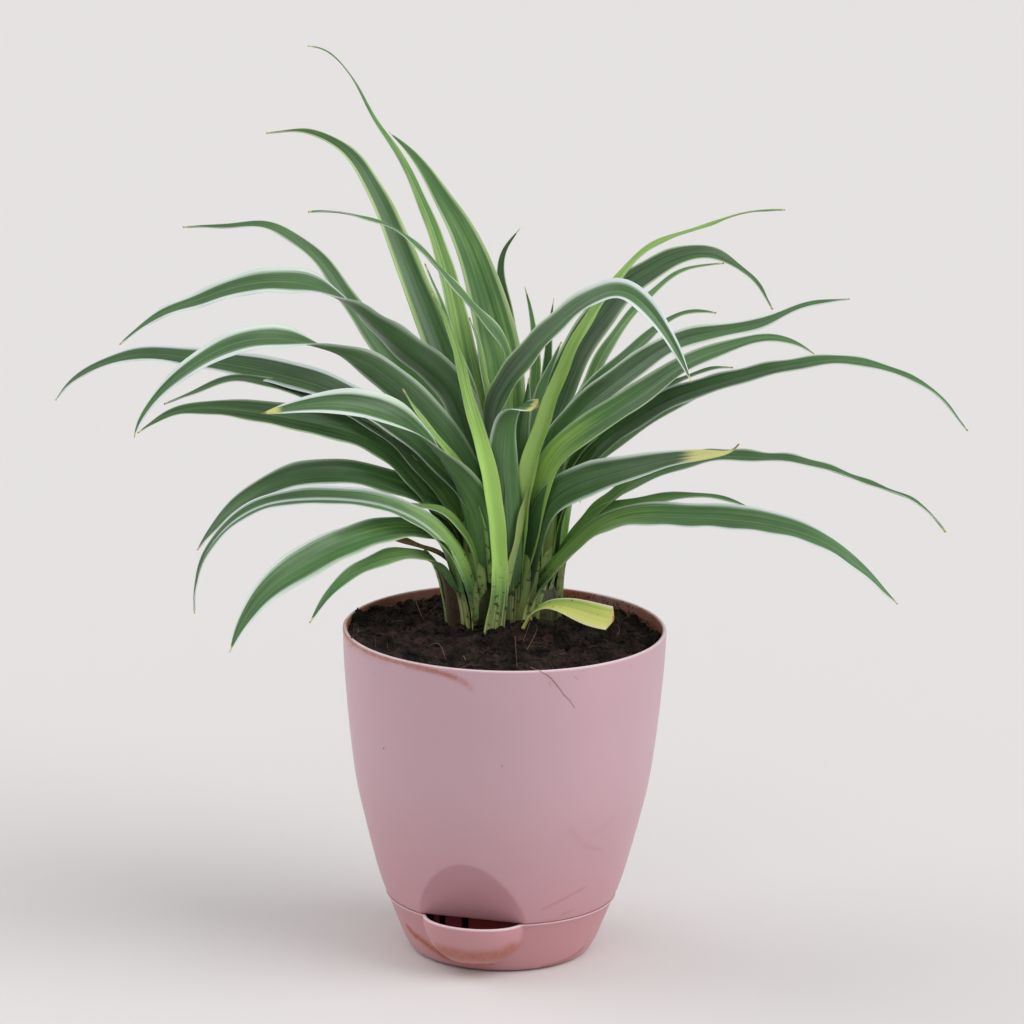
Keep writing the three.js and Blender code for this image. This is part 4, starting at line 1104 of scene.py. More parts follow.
# The part's leaves, a few of them redrawn by some millimetres: name, full width, share of the length where
# the taper starts, the upper side's turn in degrees towards the front from base to tip, and the midrib's
# points from base to tip.
LEAVES = [
    ("leaf_left_01", 13, 0.45, [30, 40, 45, 45, 35], [(-6, 26, 136), (-8, 28, 165), (-18, 31, 190),
        (-29, 34, 212), (-40, 37, 225), (-49, 39, 236), (-57, 41, 247), (-66, 43, 259), (-75, 45, 272),
        (-86, 47, 281), (-98, 48, 287), (-114, 49, 286), (-132, 50, 285)]),
    ("leaf_left_02", 16, 0.65, [-60, -65, -70, -70, -70, -65, -25, 40, 50, 50, 50], [
        (-5, 20, 136), (-5, 20, 165),
        (-12, 20, 197), (-18, 19, 218), (-25, 17, 231), (-38, 15, 242), (-52, 15, 253), (-64, 14, 263),
        (-77, 13, 270), (-92, 12, 272), (-108, 11, 270), (-124, 10, 264), (-140, 9, 258), (-155, 8, 246)]),
    ("leaf_left_03", 15, 0.6, [20, 30, 30, 35, 42, 45], [(-8, 16, 136), (-8, 14, 160), (-11, 12, 177),
        (-18, 11, 188), (-29, 10, 200), (-40, 10, 210), (-53, 10, 219), (-73, 11, 229), (-96, 12, 235),
        (-122, 13, 239), (-146, 14, 241), (-164, 14, 236), (-176, 15, 228), (-181, 15, 221)]),
    ("leaf_left_04", 14, 0.6, [20, 30, 30, 15, 15, 15], [(-14, 21, 136), (-16, 19, 156), (-17, 17, 170),
        (-25, 15, 184), (-35, 14, 196), (-46, 12, 208), (-61, 10, 218), (-79, 7, 226), (-97, 5, 232),
        (-109, 4, 234), (-123, 3, 229), (-137, 3, 223)]),
    ("leaf_left_05", 15, 0.7, [-60, -65, -70, -70, -65, -60, -25, 35, 45, 45, 45], [
        (-9, 14, 136), (-9, 13, 160),
        (-12, 10, 184), (-18, 8, 198), (-24, 6, 209), (-33, 3, 221), (-45, 0, 233), (-59, -4, 244),
        (-75, -9, 251), (-91, -14, 255), (-107, -19, 254), (-122, -23, 247), (-136, -26, 236),
        (-145, -28, 224), (-147, -28, 217)]),
    ("leaf_left_06", 15, 0.6, [20, 32, 45, 46, 35], [(-13, 17, 136), (-16, 16, 155), (-22, 15, 170),
        (-30, 13, 182), (-38, 11, 193), (-48, 9, 204), (-61, 6, 212), (-79, 3, 217), (-99, 0, 221),
        (-119, -2, 223), (-135, -4, 221), (-147, -5, 213)]),
    ("leaf_left_07", 16, 0.72, [-80, -80, -30, 30, 60, 60], [(-8, 11, 136), (-8, 9, 160), (-10, 6, 176),
        (-15, 1, 190), (-21, -6, 200), (-28, -11, 210), (-36, -16, 219), (-45, -21, 226), (-57, -26, 231),
        (-68, -30, 233), (-82, -33, 232), (-97, -35, 229)]),
    ("leaf_left_08", 14, 0.7, [20, 30, 35, 35, 30], [(-14, 17, 134), (-15, 17, 151), (-20, 15, 172),
        (-30, 12, 183), (-43, 9, 189), (-57, 4, 194.5), (-73, -1, 197), (-87, -3, 195), (-99, -5, 190),
        (-111, -7, 182), (-119, -8, 172), (-123, -8, 166)]),
    ("leaf_left_09", 13, 0.6, [50, 40, 25, 20, 20], [(-13, 5, 134), (-14, 4, 144), (-18, 2, 157),
        (-24, -2, 169), (-34, -7, 179), (-48, -13, 187), (-64, -19, 191), (-82, -24, 192), (-97, -28, 190),
        (-110, -30, 182), (-119, -31, 170), (-123, -31, 156), (-123, -30, 146)]),
    ("leaf_left_10", 8, 0.6, [30, 30, 20], [(-9, 9, 136), (-11, 7, 152), (-13, 6, 164), (-18, 4, 173),
        (-26, 1, 182), (-36, -2, 184), (-46, -4, 186)]),
    ("leaf_left_11", 15, 0.72, [20, 20, 30, 45, 40], [(-18, 6, 135), (-21, 6, 152), (-26, 0, 170),
        (-36, -5, 175), (-48, -12, 176), (-62, -22, 174), (-77, -32, 169), (-93, -42, 160),
        (-103, -49, 148), (-108, -54, 137)]),
    ("leaf_left_12", 11, 0.55, [20, 15, 20, 25], [(-20, 10, 134), (-22, 7, 149), (-28, 2, 160),
        (-38, -6, 165), (-50, -16, 165), (-61, -26, 162), (-69, -35, 157), (-77, -45, 147)]),
    ("leaf_left_13", 8, 0.6, [20, 30, 30], [(-7, 9, 150), (-9, 7, 176), (-15, 4, 192), (-23, 1, 205),
        (-30, -1, 214), (-37, -3, 224), (-42, -5, 233)]),
    ("dried_leaf", 5, 0.5, [0, 20, 0], [(-18, 11, 148), (-24, 9, 160), (-36, 5, 166), (-48, 3, 170),
        (-62, 0, 174), (-76, -3, 169)]),
    ("leaf_top_01", 14, 0.35, [55, 55, 55, 45], [(-3, 24, 136), (-4, 25, 165), (-9, 26, 204),
        (-15, 28, 226), (-20, 30, 250), (-25, 32, 271), (-31, 34, 289), (-38, 36, 305), (-45, 38, 319),
        (-53, 40, 329), (-58, 41, 338), (-63, 42, 347), (-69, 43, 355), (-75, 44, 360), (-82, 44, 361)]),
    ("leaf_top_02", 18, 0.55, [40, 45, 50, 45], [(0, 28, 136), (1, 30, 165), (0, 33, 192), (-1, 36, 218),
        (-2, 40, 232), (-5, 44, 244), (-9, 49, 258), (-14, 54, 272), (-20, 60, 284), (-27, 66, 294),
        (-34, 72, 304), (-42, 77, 313), (-50, 81, 319)]),
    ("leaf_top_03", 15, 0.5, [30, 40, 40, 30], [(-4, 30, 136), (-6, 32, 165), (-12, 36, 191),
        (-18, 40, 212), (-25, 45, 231), (-33, 50, 250), (-41, 56, 268), (-48, 62, 284), (-56, 68, 299),
        (-64, 73, 310), (-73, 78, 316), (-85, 82, 319), (-100, 85, 317)]),
    ("leaf_top_04", 13, 0.4, [40, 40, 25, 20], [(4, 20, 136), (3, 20, 165), (0, 20, 195), (-1, 19, 222),
        (0, 17, 237), (-3, 16, 248), (-12, 14, 259), (-23, 11, 272), (-34, 8, 285), (-45, 5, 295),
        (-57, 2, 300), (-68, 0, 303), (-80, -1, 303)]),
    ("leaf_top_05", 9, 0.4, [40, 40, 30], [(-3, 18, 140), (-6, 21, 180), (-14, 22, 221), (-19, 22, 236),
        (-24, 23, 251), (-28, 24, 263), (-34, 25, 277)]),
    ("leaf_top_06", 8, 0.4, [30, 30, 30], [(-1, 25, 150), (-4, 26, 200), (-10, 28, 231), (-12, 29, 243),
        (-16, 30, 254)]),
    ("leaf_front_01", 12, 0.5, [60, 50, 40, 35], [(-5, 2, 134), (-3, 1, 146), (-3, 1, 160), (-4, 0, 174),
        (-6, 0, 188), (-9, 0, 203), (-13, 2, 216), (-17, 5, 229), (-20, 8, 242), (-25, 9, 257),
        (-31, 10, 269)]),
    ("leaf_back_01", 12, 0.5, [0, 0, 0], [(-2, 36, 136), (-3, 52, 180), (-6, 66, 215), (-9, 78, 245),
        (-12, 86, 264), (-14, 90, 276)]),
    ("leaf_back_02", 11, 0.5, [0, 10, 0], [(5, 34, 136), (5, 42, 175), (3, 50, 214), (1, 56, 234),
        (-1, 62, 250), (-4, 67, 264), (-3, 70, 273), (0, 71, 277), (4, 72, 282)]),
    ("leaf_back_03", 9, 0.5, [0, 0, 0], [(8, 35, 136), (9, 42, 175), (10, 48, 208), (11, 52, 232),
        (9, 55, 250), (6, 57, 261)]),
    ("leaf_back_04", 9, 0.5, [0, 0, 0], [(13, 35, 136), (14, 44, 175), (15, 50, 210), (16, 54, 234),
        (17, 57, 249), (18, 59, 256)]),
    ("leaf_centre_01", 16, 0.7, [50, 50, 55, 55, 40, 32, 45], [(0, 14, 136), (-1, 13, 156), (-2, 12, 175),
        (-4, 12, 202), (-6, 10, 219), (-2, 6, 231), (5, 2, 242), (14, -3, 254), (25, -8, 266),
        (35, -13, 274), (45, -17, 277), (54, -21, 271), (62, -24, 261), (68, -26, 251), (72, -27, 242)]),
    ("leaf_centre_02", 12, 0.7, [-30, -30, -15, 25], [(2, 9, 136), (1, 7.5, 170), (-1, 6.5, 190),
        (-1.8, 5, 205), (-0.6, 2, 218), (3.2, -2, 226), (8, -4.5, 225.5), (12, -6.5, 227)]),
    ("leaf_centre_03", 12, 0.6, [-60, -60, -60], [(4, 20, 140), (4, 18, 172), (5, 16, 203), (6, 15, 215),
        (8, 15, 225), (8, 15, 233)]),
    ("leaf_centre_04", 12, 0.6, [-60, -50, -50], [(6, 24, 136), (8, 22, 170), (11, 22, 200), (13, 22, 226),
        (16, 23, 234), (21, 24, 246)]),
    ("leaf_right_01", 13, 0.25, [50, 50, 45, 40, 30], [(5, 16, 136), (5, 14, 152), (6, 12, 167),
        (7, 10, 184), (10, 9, 200), (15, 9, 217), (20, 10, 232), (26, 11, 247), (33, 12, 260),
        (41, 13, 272), (50, 14, 283), (60, 16, 290), (76, 18, 295), (93, 20, 301), (109, 21, 302)]),
    ("leaf_right_02", 16, 0.6, [45, 45, 40, 30, 30], [(7, 20, 136), (8, 18, 152), (11, 15, 170),
        (14, 12, 188), (19, 9, 202), (29, 7, 212), (43, 6, 222), (57, 5, 232), (71, 3, 243), (87, 1, 250),
        (102, -1, 255), (114, -2, 253), (121, -3, 249)]),
    ("leaf_right_03", 15, 0.55, [30, 35, 40, 35, 30, 30], [(14, 21, 136), (14, 22, 165), (14, 22, 193),
        (20, 22, 206), (29, 21, 218), (41, 19, 229), (55, 16, 241), (69, 14, 250), (85, 12, 254),
        (101, 10, 258), (117, 9, 266), (135, 8, 269)]),
    ("leaf_right_04", 15, 0.35, [35, 40, 40, 32, 25, 22], [(18, 26, 136), (19, 26, 165), (22, 25, 181),
        (28, 23, 193), (37, 21, 205), (51, 18, 216), (67, 15, 226), (85, 12, 233), (103, 9, 239),
        (119, 6, 243), (133, 4, 245), (151, 2, 242), (169, 0, 234), (183, -1, 218)]),
    ("leaf_right_05", 9, 0.5, [20, 20, 20], [(20, 30, 136), (21, 31, 165), (25, 32, 182), (37, 34, 196),
        (58, 36, 211), (78, 38, 222), (96, 40, 228)]),
    ("leaf_right_06", 11, 0.5, [20, 25, 20], [(16, 31, 136), (18, 30, 165), (21, 29, 185), (31, 28, 203),
        (42, 27, 213), (56, 26, 223), (70, 26, 231), (82, 26, 236), (90, 26, 236)]),
    ("leaf_right_07", 15, 0.6, [35, 40, 45, 38, 32], [(10, 33, 136), (12, 34, 170), (15, 38, 201),
        (21, 42, 221), (28, 45, 238), (36, 48, 250), (46, 51, 262), (58, 54, 270), (69, 57, 275),
        (80, 60, 276), (90, 62, 271), (100, 64, 263), (107, 66, 251)]),
    ("leaf_right_08", 12, 0.35, [30, 30, 30, 20], [(14, 28, 136), (15, 29, 170), (19, 30, 190),
        (26, 32, 206), (32, 34, 224), (39, 36, 240), (48, 38, 253), (58, 40, 264), (71, 42, 273),
        (86, 43, 275)]),
    ("leaf_right_09", 13, 0.5, [30, 35, 35, 20], [(16, 24, 136), (17, 25, 168), (21, 26, 202),
        (29, 27, 219), (37, 28, 229), (49, 29, 241), (62, 30, 253), (72, 31, 258), (83, 32, 257)]),
    ("leaf_right_10", 17, 0.55, [40, 60, 60, 50, 40], [(9, 13, 136), (11, 11, 155), (13, 9, 174),
        (19, 5, 186), (29, -2, 194), (41, -9, 200), (55, -17, 206), (68, -24, 211), (81, -30, 214),
        (90, -33, 216), (91, -32, 219)]),
    ("leaf_right_11", 13, 0.35, [20, 20, 20, 10, 10], [(22, 27, 136), (23, 28, 150), (28, 25, 165),
        (37, 22, 177), (50, 18, 189), (66, 14, 197), (82, 10, 203), (99, 6, 204), (117, 2, 204),
        (133, -1, 200), (149, -4, 195), (165, -6, 189), (175, -8, 178)]),
    ("leaf_right_12", 15, 0.65, [30, 25, 30, 25, 25], [(11, 16, 134), (14, 13, 145), (20, 9, 155),
        (28, 5, 166), (38, 0, 176), (51, -6, 182), (69, -13, 184), (89, -19, 185), (108, -25, 184),
        (126, -30, 179), (141, -34, 169), (155, -37, 156)]),
    ("leaf_right_13", 11, 0.5, [20, 20, 15], [(18, 22, 136), (20, 21, 152), (27, 19, 166), (38, 16, 177),
        (54, 12, 183), (70, 8, 187), (84, 5, 188), (97, 3, 184)]),
    ("yellow_leaf", 12, 0.8, [-20, 20, 45, 45, 45], [(7.7, -5, 134.6), (10, -5, 140), (12.4, -6, 143.6),
        (17.2, -7, 145.2), (24, -9, 145.4), (30.7, -12, 144.3), (37.1, -14.8, 142.7), (43.4, -16.4, 142)]),
    ("leaf_rear_01", 14, 0.5, [0, 0, 0], [(-12, 24, 136), (-13, 34, 165), (-14, 52, 188), (-17, 78, 199),
        (-20, 104, 190), (-21, 122, 168)]),
    ("leaf_rear_02", 15, 0.5, [0, 0, 0], [(2, 34, 136), (3, 44, 165), (4, 64, 190), (5, 92, 199),
        (7, 120, 186), (8, 140, 160)]),
    ("leaf_rear_03", 14, 0.5, [0, 0, 0], [(17, 34, 136), (19, 44, 160), (22, 62, 178), (25, 88, 184),
        (29, 112, 172), (31, 128, 152)]),
    ("leaf_rear_04", 13, 0.45, [0, 0, 0], [(-2, 40, 138), (-1, 50, 170), (-1, 62, 200), (-4, 78, 226),
        (-8, 97, 246), (-14, 118, 256), (-20, 138, 252)]),
    ("leaf_rear_05", 13, 0.5, [0, 0, 0], [(16, 36, 136), (19, 46, 160), (23, 60, 180), (28, 78, 194),
        (35, 98, 200), (43, 120, 195)]),
    ("leaf_rear_06", 13, 0.5, [0, 0, 0], [(-15, 27, 136), (-16, 42, 160), (-19, 58, 180), (-23, 76, 194),
        (-29, 96, 200), (-36, 116, 197)]),
]

# How each leaf looks: brightness from base to tip, partly its own tone and partly painted light and shade for
# where it lies among the others, margin share from base to tip, whiteness of the margin from base to tip,
# higher on the leaves that face the light as a painted highlight, pale band share in the channel, then
# millimetres of yellow and of brown at the tip.
PLAIN = ([0.6, 0.35, 0.3, 0.3, 0.35], [0.06, 0.08, 0.12, 0.14], [0.1, 0.4, 0.6], 0, 2, 0.4)
LOOKS = {
    "leaf_left_01": ([0.6, 0.4, 0.35, 0.3], [0, 0.08, 0.12, 0.16], [0, 0.3, 0.6], 0, 1.5, 0.4),
    "leaf_left_02": ([0.4, 0.1, 0.15, 0.25, 0.3, 0.35], [0.05, 0.06, 0.12, 0.32, 0.36], [0.2, 0.6, 1],
        0, 2, 0.2),
    "leaf_left_03": ([0.45, 0.2, 0.15, 0.2, 0.25], [0.05, 0.14, 0.2, 0.24], [0.2, 0.9, 1], 0, 1, 0.2),
    "leaf_left_04": ([0.45, 0.15, 0.15, 0.2], [0.05, 0.08, 0.1, 0.12], [0.1, 0.4, 0.5], 0, 1.5, 0.3),
    "leaf_left_05": ([0.4, 0.1, 0.1, 0.25, 0.3, 0.35], [0.05, 0.04, 0.14, 0.34, 0.4], [0.2, 0.6, 1],
        0, 2, 0.2),
    "leaf_left_06": ([0.45, 0.15, 0.15, 0.2], [0.05, 0.06, 0.08, 0.1], [0.1, 0.3, 0.5], 0, 2, 0.5),
    "leaf_left_07": ([0.4, 0.1, 0.08, 0.3, 0.35], [0, 0.02, 0.14, 0.3, 0.34], [0, 0.4, 1], 0, 9, 1.5),
    "leaf_left_08": ([0.4, 0.15, 0.2, 0.25], [0.05, 0.06, 0.1, 0.14], [0.1, 0.4, 0.8], 0, 1, 0.2),
    "leaf_left_09": ([0.45, 0.3, 0.2, 0.25, 0.25], [0.1, 0.16, 0.18, 0.2], [0.4, 1, 1], 0.18, 1, 0.3),
    "leaf_left_10": ([0.6, 0.45, 0.4], [0.1, 0.2, 0.26], [0.1, 0.4, 0.6], 0, 2, 0.6),
    "leaf_left_11": ([0.4, 0.25, 0.22, 0.3, 0.35], [0.05, 0.1, 0.16, 0.24], [0.2, 0.6, 0.9], 0, 2, 1),
    "leaf_left_12": ([0.35, 0.2, 0.25, 0.3], [0.05, 0.08, 0.12, 0.14], [0.2, 0.7, 0.9], 0, 2, 1),
    "leaf_left_13": ([0.7, 0.6, 0.6], [0.1, 0.16, 0.2], [0, 0.1, 0.2], 0, 2, 0.4),
    "leaf_top_01": ([0.7, 0.65, 0.7, 0.6, 0.5], [0, 0.1, 0.12, 0.12], [0, 0.2, 0.4], 0, 2, 0.2),
    "leaf_top_02": ([0.6, 0.5, 0.5, 0.5, 0.45], [0, 0.12, 0.2, 0.2], [0, 0.1, 0.2], 0, 2, 0.2),
    "leaf_top_03": ([0.6, 0.4, 0.25, 0.25, 0.25], [0, 0.16, 0.26, 0.26], [0, 0, 0.2], 0, 1.5, 0.6),
    "leaf_top_04": ([0.7, 0.5, 0.45, 0.4], [0, 0.08, 0.12, 0.12], [0, 0.3, 0.6], 0, 1, 0.2),
    "leaf_top_05": ([0.7, 0.5, 0.5], [0.16, 0.22, 0.26], [0, 0.3, 0.5], 0, 3, 1),
    "leaf_top_06": ([0.7, 0.5, 0.5], [0.16, 0.22, 0.26], [0, 0.3, 0.5], 0, 3, 1),
    "leaf_front_01": ([0.55, 0.64, 0.78, 0.8, 0.74, 0.64], [-0.06, -0.06, 0.02, 0.08], [0, 0, 0.1],
        0, 2, 0.5),
    "leaf_back_01": ([0.4, 0.2, 0.15], [0.1, 0.1], [0.2, 0.2], 0, 14, 7),
    "leaf_back_02": ([0.4, 0.15, 0.12], [0.1, 0.14], [0.2, 0.4], 0, 2, 2),
    "leaf_back_03": ([0.6, 0.45, 0.45], [0.14, 0.24], [0.1, 0.3], 0, 3, 1),
    "leaf_back_04": ([0.6, 0.3, 0.3], [0.14, 0.2], [0.1, 0.3], 0, 3, 1),
    "leaf_centre_01": ([0.3, 0, 0, 0.2, 0.35, 0.35], [-0.05, -0.05, 0, 0.1, 0.32, 0.34], [0, 0, 0.1, 0.9, 1],
        0, 3, 1),
    "leaf_centre_02": ([0.3, 0.1, 0.05, 0.35], [-0.06, 0.06, 0.16], [0, 0.4, 0.8], 0, 4, 0.6),
    "leaf_right_01": ([0.7, 1.0, 0.95, 0.8, 0.65], [-0.06, -0.04, 0.02, 0.08], [0, 0.1, 0.2], 0, 1, 0.2),
    "leaf_right_02": ([0.9, 1.0, 0.6, 0.35, 0.3, 0.35], [-0.1, 0, 0.1, 0.16], [0, 0.3, 0.6], 0, 1, 0.2),
    "leaf_right_03": ([0.55, 0.25, 0.2, 0.25, 0.3], [0.06, 0.08, 0.16, 0.2], [0, 0.6, 0.8], 0, 1, 0.2),
    "leaf_right_04": ([0.5, 0.25, 0.22, 0.3, 0.35], [0.06, 0.08, 0.16, 0.2], [0, 0.7, 0.7], 0, 2, 0.4),
    "leaf_right_07": ([0.5, 0.2, 0.15, 0.15, 0.2], [0.06, 0.06, 0.08, 0.1], [0, 0.3, 0.4], 0, 1.5, 0.8),
    "leaf_right_08": ([0.7, 0.55, 0.55, 0.5], [0.06, 0.1, 0.12, 0.12], [0, 0.3, 0.4], 0, 2, 0.5),
    "leaf_right_09": ([0.6, 0.4, 0.35, 0.35], [0.06, 0.1, 0.12, 0.12], [0, 0.4, 0.5], 0, 1.5, 0.3),
    "leaf_right_10": ([0, -0.15, -0.05, 0.1, 0.25], [0.05, 0.06, 0.1, 0.14, 0.16], [0.2, 0.8, 0.8], 0, 28, 3),
    "leaf_right_11": ([0.5, 0.3, 0.3, 0.35], [0.05, 0.08, 0.14, 0.16], [0.1, 0.6, 0.6], 0, 2, 0.5),
    "leaf_right_12": ([0.45, 0.3, 0.3, 0.35, 0.4], [0.08, 0.1, 0.14, 0.2], [0.3, 0.9, 0.9], 0, 1.5, 0.3),
    "yellow_leaf": ([0.25, 0.2, 0.35, 0.5, 0.6, 0.7], [0.06, 0.08, 0.1], [0.7, 1], 0, 1.5, 0.8),
    "dried_leaf": ([1.0, 1.1, 1.1], [0.1, 0.1], [0, 0], 0, 0, 0),
}
# Fold of the channel along a leaf in degrees, and along each leaf that isn't as the rest.
OPEN_FOLD = [20, 22, 20, 18, 14]
FOLDS = {
    "leaf_front_01": [46, 48, 48, 44, 36, 24],
    "leaf_right_01": [46, 44, 42, 38, 30, 20],
    "leaf_left_07": [24, 30, 30, 26, 16],
    "leaf_left_09": [30, 30, 28, 24, 20],
    "leaf_centre_01": [20, 16, 14, 18, 26, 26],
    "yellow_leaf": [10, 20, 14, 8],
}
# Width along the leaf as a share of its row's, where it isn't as the rest.
WIDTHS = {
    "leaf_front_01": [1.2, 0.95, 0.85, 0.85, 0.9, 0.85, 0.75, 0.6, 0.45, 0.25, 0],
    "leaf_centre_02": [0.8, 0.9, 1, 1.1, 1.2, 1.25, 1.2, 1.1, 1, 0.75],
    "yellow_leaf": [0.22, 0.2, 0.28, 0.46, 0.7, 0.88, 0.95, 0.98, 0.92],
}
# How fast a leaf narrows towards its tip, and where it isn't as the rest: over 1 is a long thin tip.
USUAL_TAPER = 0.85
TAPER = {"leaf_top_01": 1.45, "leaf_top_04": 1.1, "leaf_right_01": 1.2, "leaf_left_09": 1.1}
# How much brighter a leaf is at one edge than down its middle: the cut leaf has yellowed from its near edge.
LEAN = {"yellow_leaf": 0.4}


# What a midrib's points carry for the sweep alone, and which of it is in millimetres.
SWEEP_FLOATS = ("half_width", "fold", "roundness", "ripple_left", "ripple_right")
SWEEP_VECTORS = ("centre", "across_way", "up_way")
SWEEP_LENGTHS = ("centre", "half_width", "ripple_left", "ripple_right")


def spread(values, shares):
    """Values evenly spaced from 0 to 1, read off at the shares."""
    return np.interp(shares, np.linspace(0, 1, len(values)), values)


def blade_tree():
    """Geometry Nodes: a blade swept along its midrib, folded up from the middle and thin at its margins.

    Each point of the midrib carries its centre, the directions across and up, half the width, the fold in
    radians, how round the keel is, and the ripple of the left and right margins in metres.
    """
    tree, given = node_tree("blade along a midrib", {
        "Midrib": "Geometry", "Points round the section": "Int", "Thickness": "Float", "Finish": "Material",
    }, "Blade")
    rail = add_node(tree, "GeometryNodeMeshToCurve", {"Mesh": given["Midrib"]})
    ring = add_node(tree, "GeometryNodeCurvePrimitiveCircle", {
        "Resolution": given["Points round the section"], "Radius": 1.0,
    }, mode="RADIUS")
    marked = add_node(tree, "GeometryNodeStoreNamedAttribute", {
        "Geometry": ring.outputs[0], "Name": "section", "Value": add_node(tree, "GeometryNodeInputPosition"),
    }, data_type="FLOAT_VECTOR", domain="POINT")
    swept = add_node(tree, "GeometryNodeCurveToMesh", {
        "Curve": rail, "Profile Curve": marked, "Fill Caps": True,
    })
    carried = {
        label: add_node(tree, "GeometryNodeInputNamedAttribute", {"Name": label}, data_type=kind).outputs[0]
        for kind, labels in (("FLOAT", SWEEP_FLOATS), ("FLOAT_VECTOR", ("section", *SWEEP_VECTORS)))
        for label in labels
    }
    section = add_node(tree, "ShaderNodeSeparateXYZ", {0: carried["section"]})
    across = section.outputs["X"]
    half = carried["half_width"]
    # Sideways: half width, less what the fold takes.
    sideways = add_node(tree, "ShaderNodeMath", {
        0: add_node(tree, "ShaderNodeMath", {0: across, 1: half}, operation="MULTIPLY"),
        1: add_node(tree, "ShaderNodeMath", {0: carried["fold"]}, operation="COSINE"),
    }, operation="MULTIPLY")
    # Upwards: a V with a rounded keel, its middle height on the midrib.
    squared = add_node(tree, "ShaderNodeMath", {
        0: across, 1: across, 2: carried["roundness"],
    }, operation="MULTIPLY_ADD")
    keel = add_node(tree, "ShaderNodeMath", {
        0: add_node(tree, "ShaderNodeMath", {0: squared}, operation="SQRT"), 1: 0.5,
    }, operation="SUBTRACT")
    raised = add_node(tree, "ShaderNodeMath", {
        0: add_node(tree, "ShaderNodeMath", {
            0: half, 1: add_node(tree, "ShaderNodeMath", {0: carried["fold"]}, operation="SINE"),
        }, operation="MULTIPLY"),
        1: keel,
    }, operation="MULTIPLY")
    # Ripples grow towards each margin.
    right_share = add_node(tree, "ShaderNodeMapRange", {"Value": across, "From Min": -1.0, "From Max": 1.0})
    ripple = add_node(tree, "ShaderNodeMix", {
        0: right_share.outputs["Result"], 2: carried["ripple_left"], 3: carried["ripple_right"],
    }, data_type="FLOAT")
    rippled = add_node(tree, "ShaderNodeMath", {
        0: ripple.outputs[0],
        1: add_node(tree, "ShaderNodeMath", {0: across, 1: across}, operation="MULTIPLY"),
        2: raised,
    }, operation="MULTIPLY_ADD")
    thickened = add_node(tree, "ShaderNodeMath", {
        0: section.outputs["Y"],
        1: add_node(tree, "ShaderNodeMath", {0: given["Thickness"], 1: 0.5}, operation="MULTIPLY"),
        2: rippled,
    }, operation="MULTIPLY_ADD")
    out_sideways, out_up = [
        add_node(tree, "ShaderNodeVectorMath", {0: carried[way], "Scale": size}, operation="SCALE")
        for way, size in (("across_way", sideways), ("up_way", thickened))
    ]
    at = add_node(tree, "ShaderNodeVectorMath", {
        0: carried["centre"],
        1: add_node(tree, "ShaderNodeVectorMath", {0: out_sideways, 1: out_up}, operation="ADD"),
    }, operation="ADD")
    shaped = add_node(tree, "GeometryNodeSetPosition", {"Geometry": swept, "Position": at})
    smooth = add_node(tree, "GeometryNodeSetShadeSmooth", {0: shaped, 2: True})
    real = add_node(tree, "GeometryNodeRealizeInstances", {0: smooth})
    finished = add_node(tree, "GeometryNodeSetMaterial", {"Geometry": real, "Material": given["Finish"]})
    add_node(tree, "NodeGroupOutput", {0: finished})
    return tree


def swept_blade(name, tree, stations, material, thickness, section_points=SECTION_POINTS):
    """Sweeps a blade over its stations, which are what the midrib's points carry, by label."""
    mesh = bpy.data.meshes.new(name + "_midrib")
    count = len(stations["centre"])
    mesh.from_pydata((stations["centre"] * MM).tolist(), [(i, i + 1) for i in range(count - 1)], [])
    for label, values in stations.items():
        carry(mesh, label, np.asarray(values, np.float32) * (MM if label in SWEEP_LENGTHS else 1))
    made = add_object(name, mesh)
    through_nodes(made, tree, {
        "Points round the section": section_points, "Thickness": thickness * MM, "Finish": material,
    })
    for label in (*SWEEP_FLOATS, *SWEEP_VECTORS):
        made.data.attributes.remove(made.data.attributes[label])
    point_outwards(made.data)
    return made


def midrib_frame(path, heading, turns):
    """Directions across and up at each point of a midrib, turned about it by degrees."""
    tangent = np.gradient(path, axis=0)
    tangent /= np.linalg.norm(tangent, axis=1)[:, None]
    level = np.array([heading[1], -heading[0], 0.0])
    side = level - tangent * (tangent @ level)[:, None]
    side /= np.linalg.norm(side, axis=1)[:, None]
    up = np.cross(side, tangent)
    turn = np.radians(turns)[:, None]
    return side * np.cos(turn) + up * np.sin(turn), up * np.cos(turn) - side * np.sin(turn)


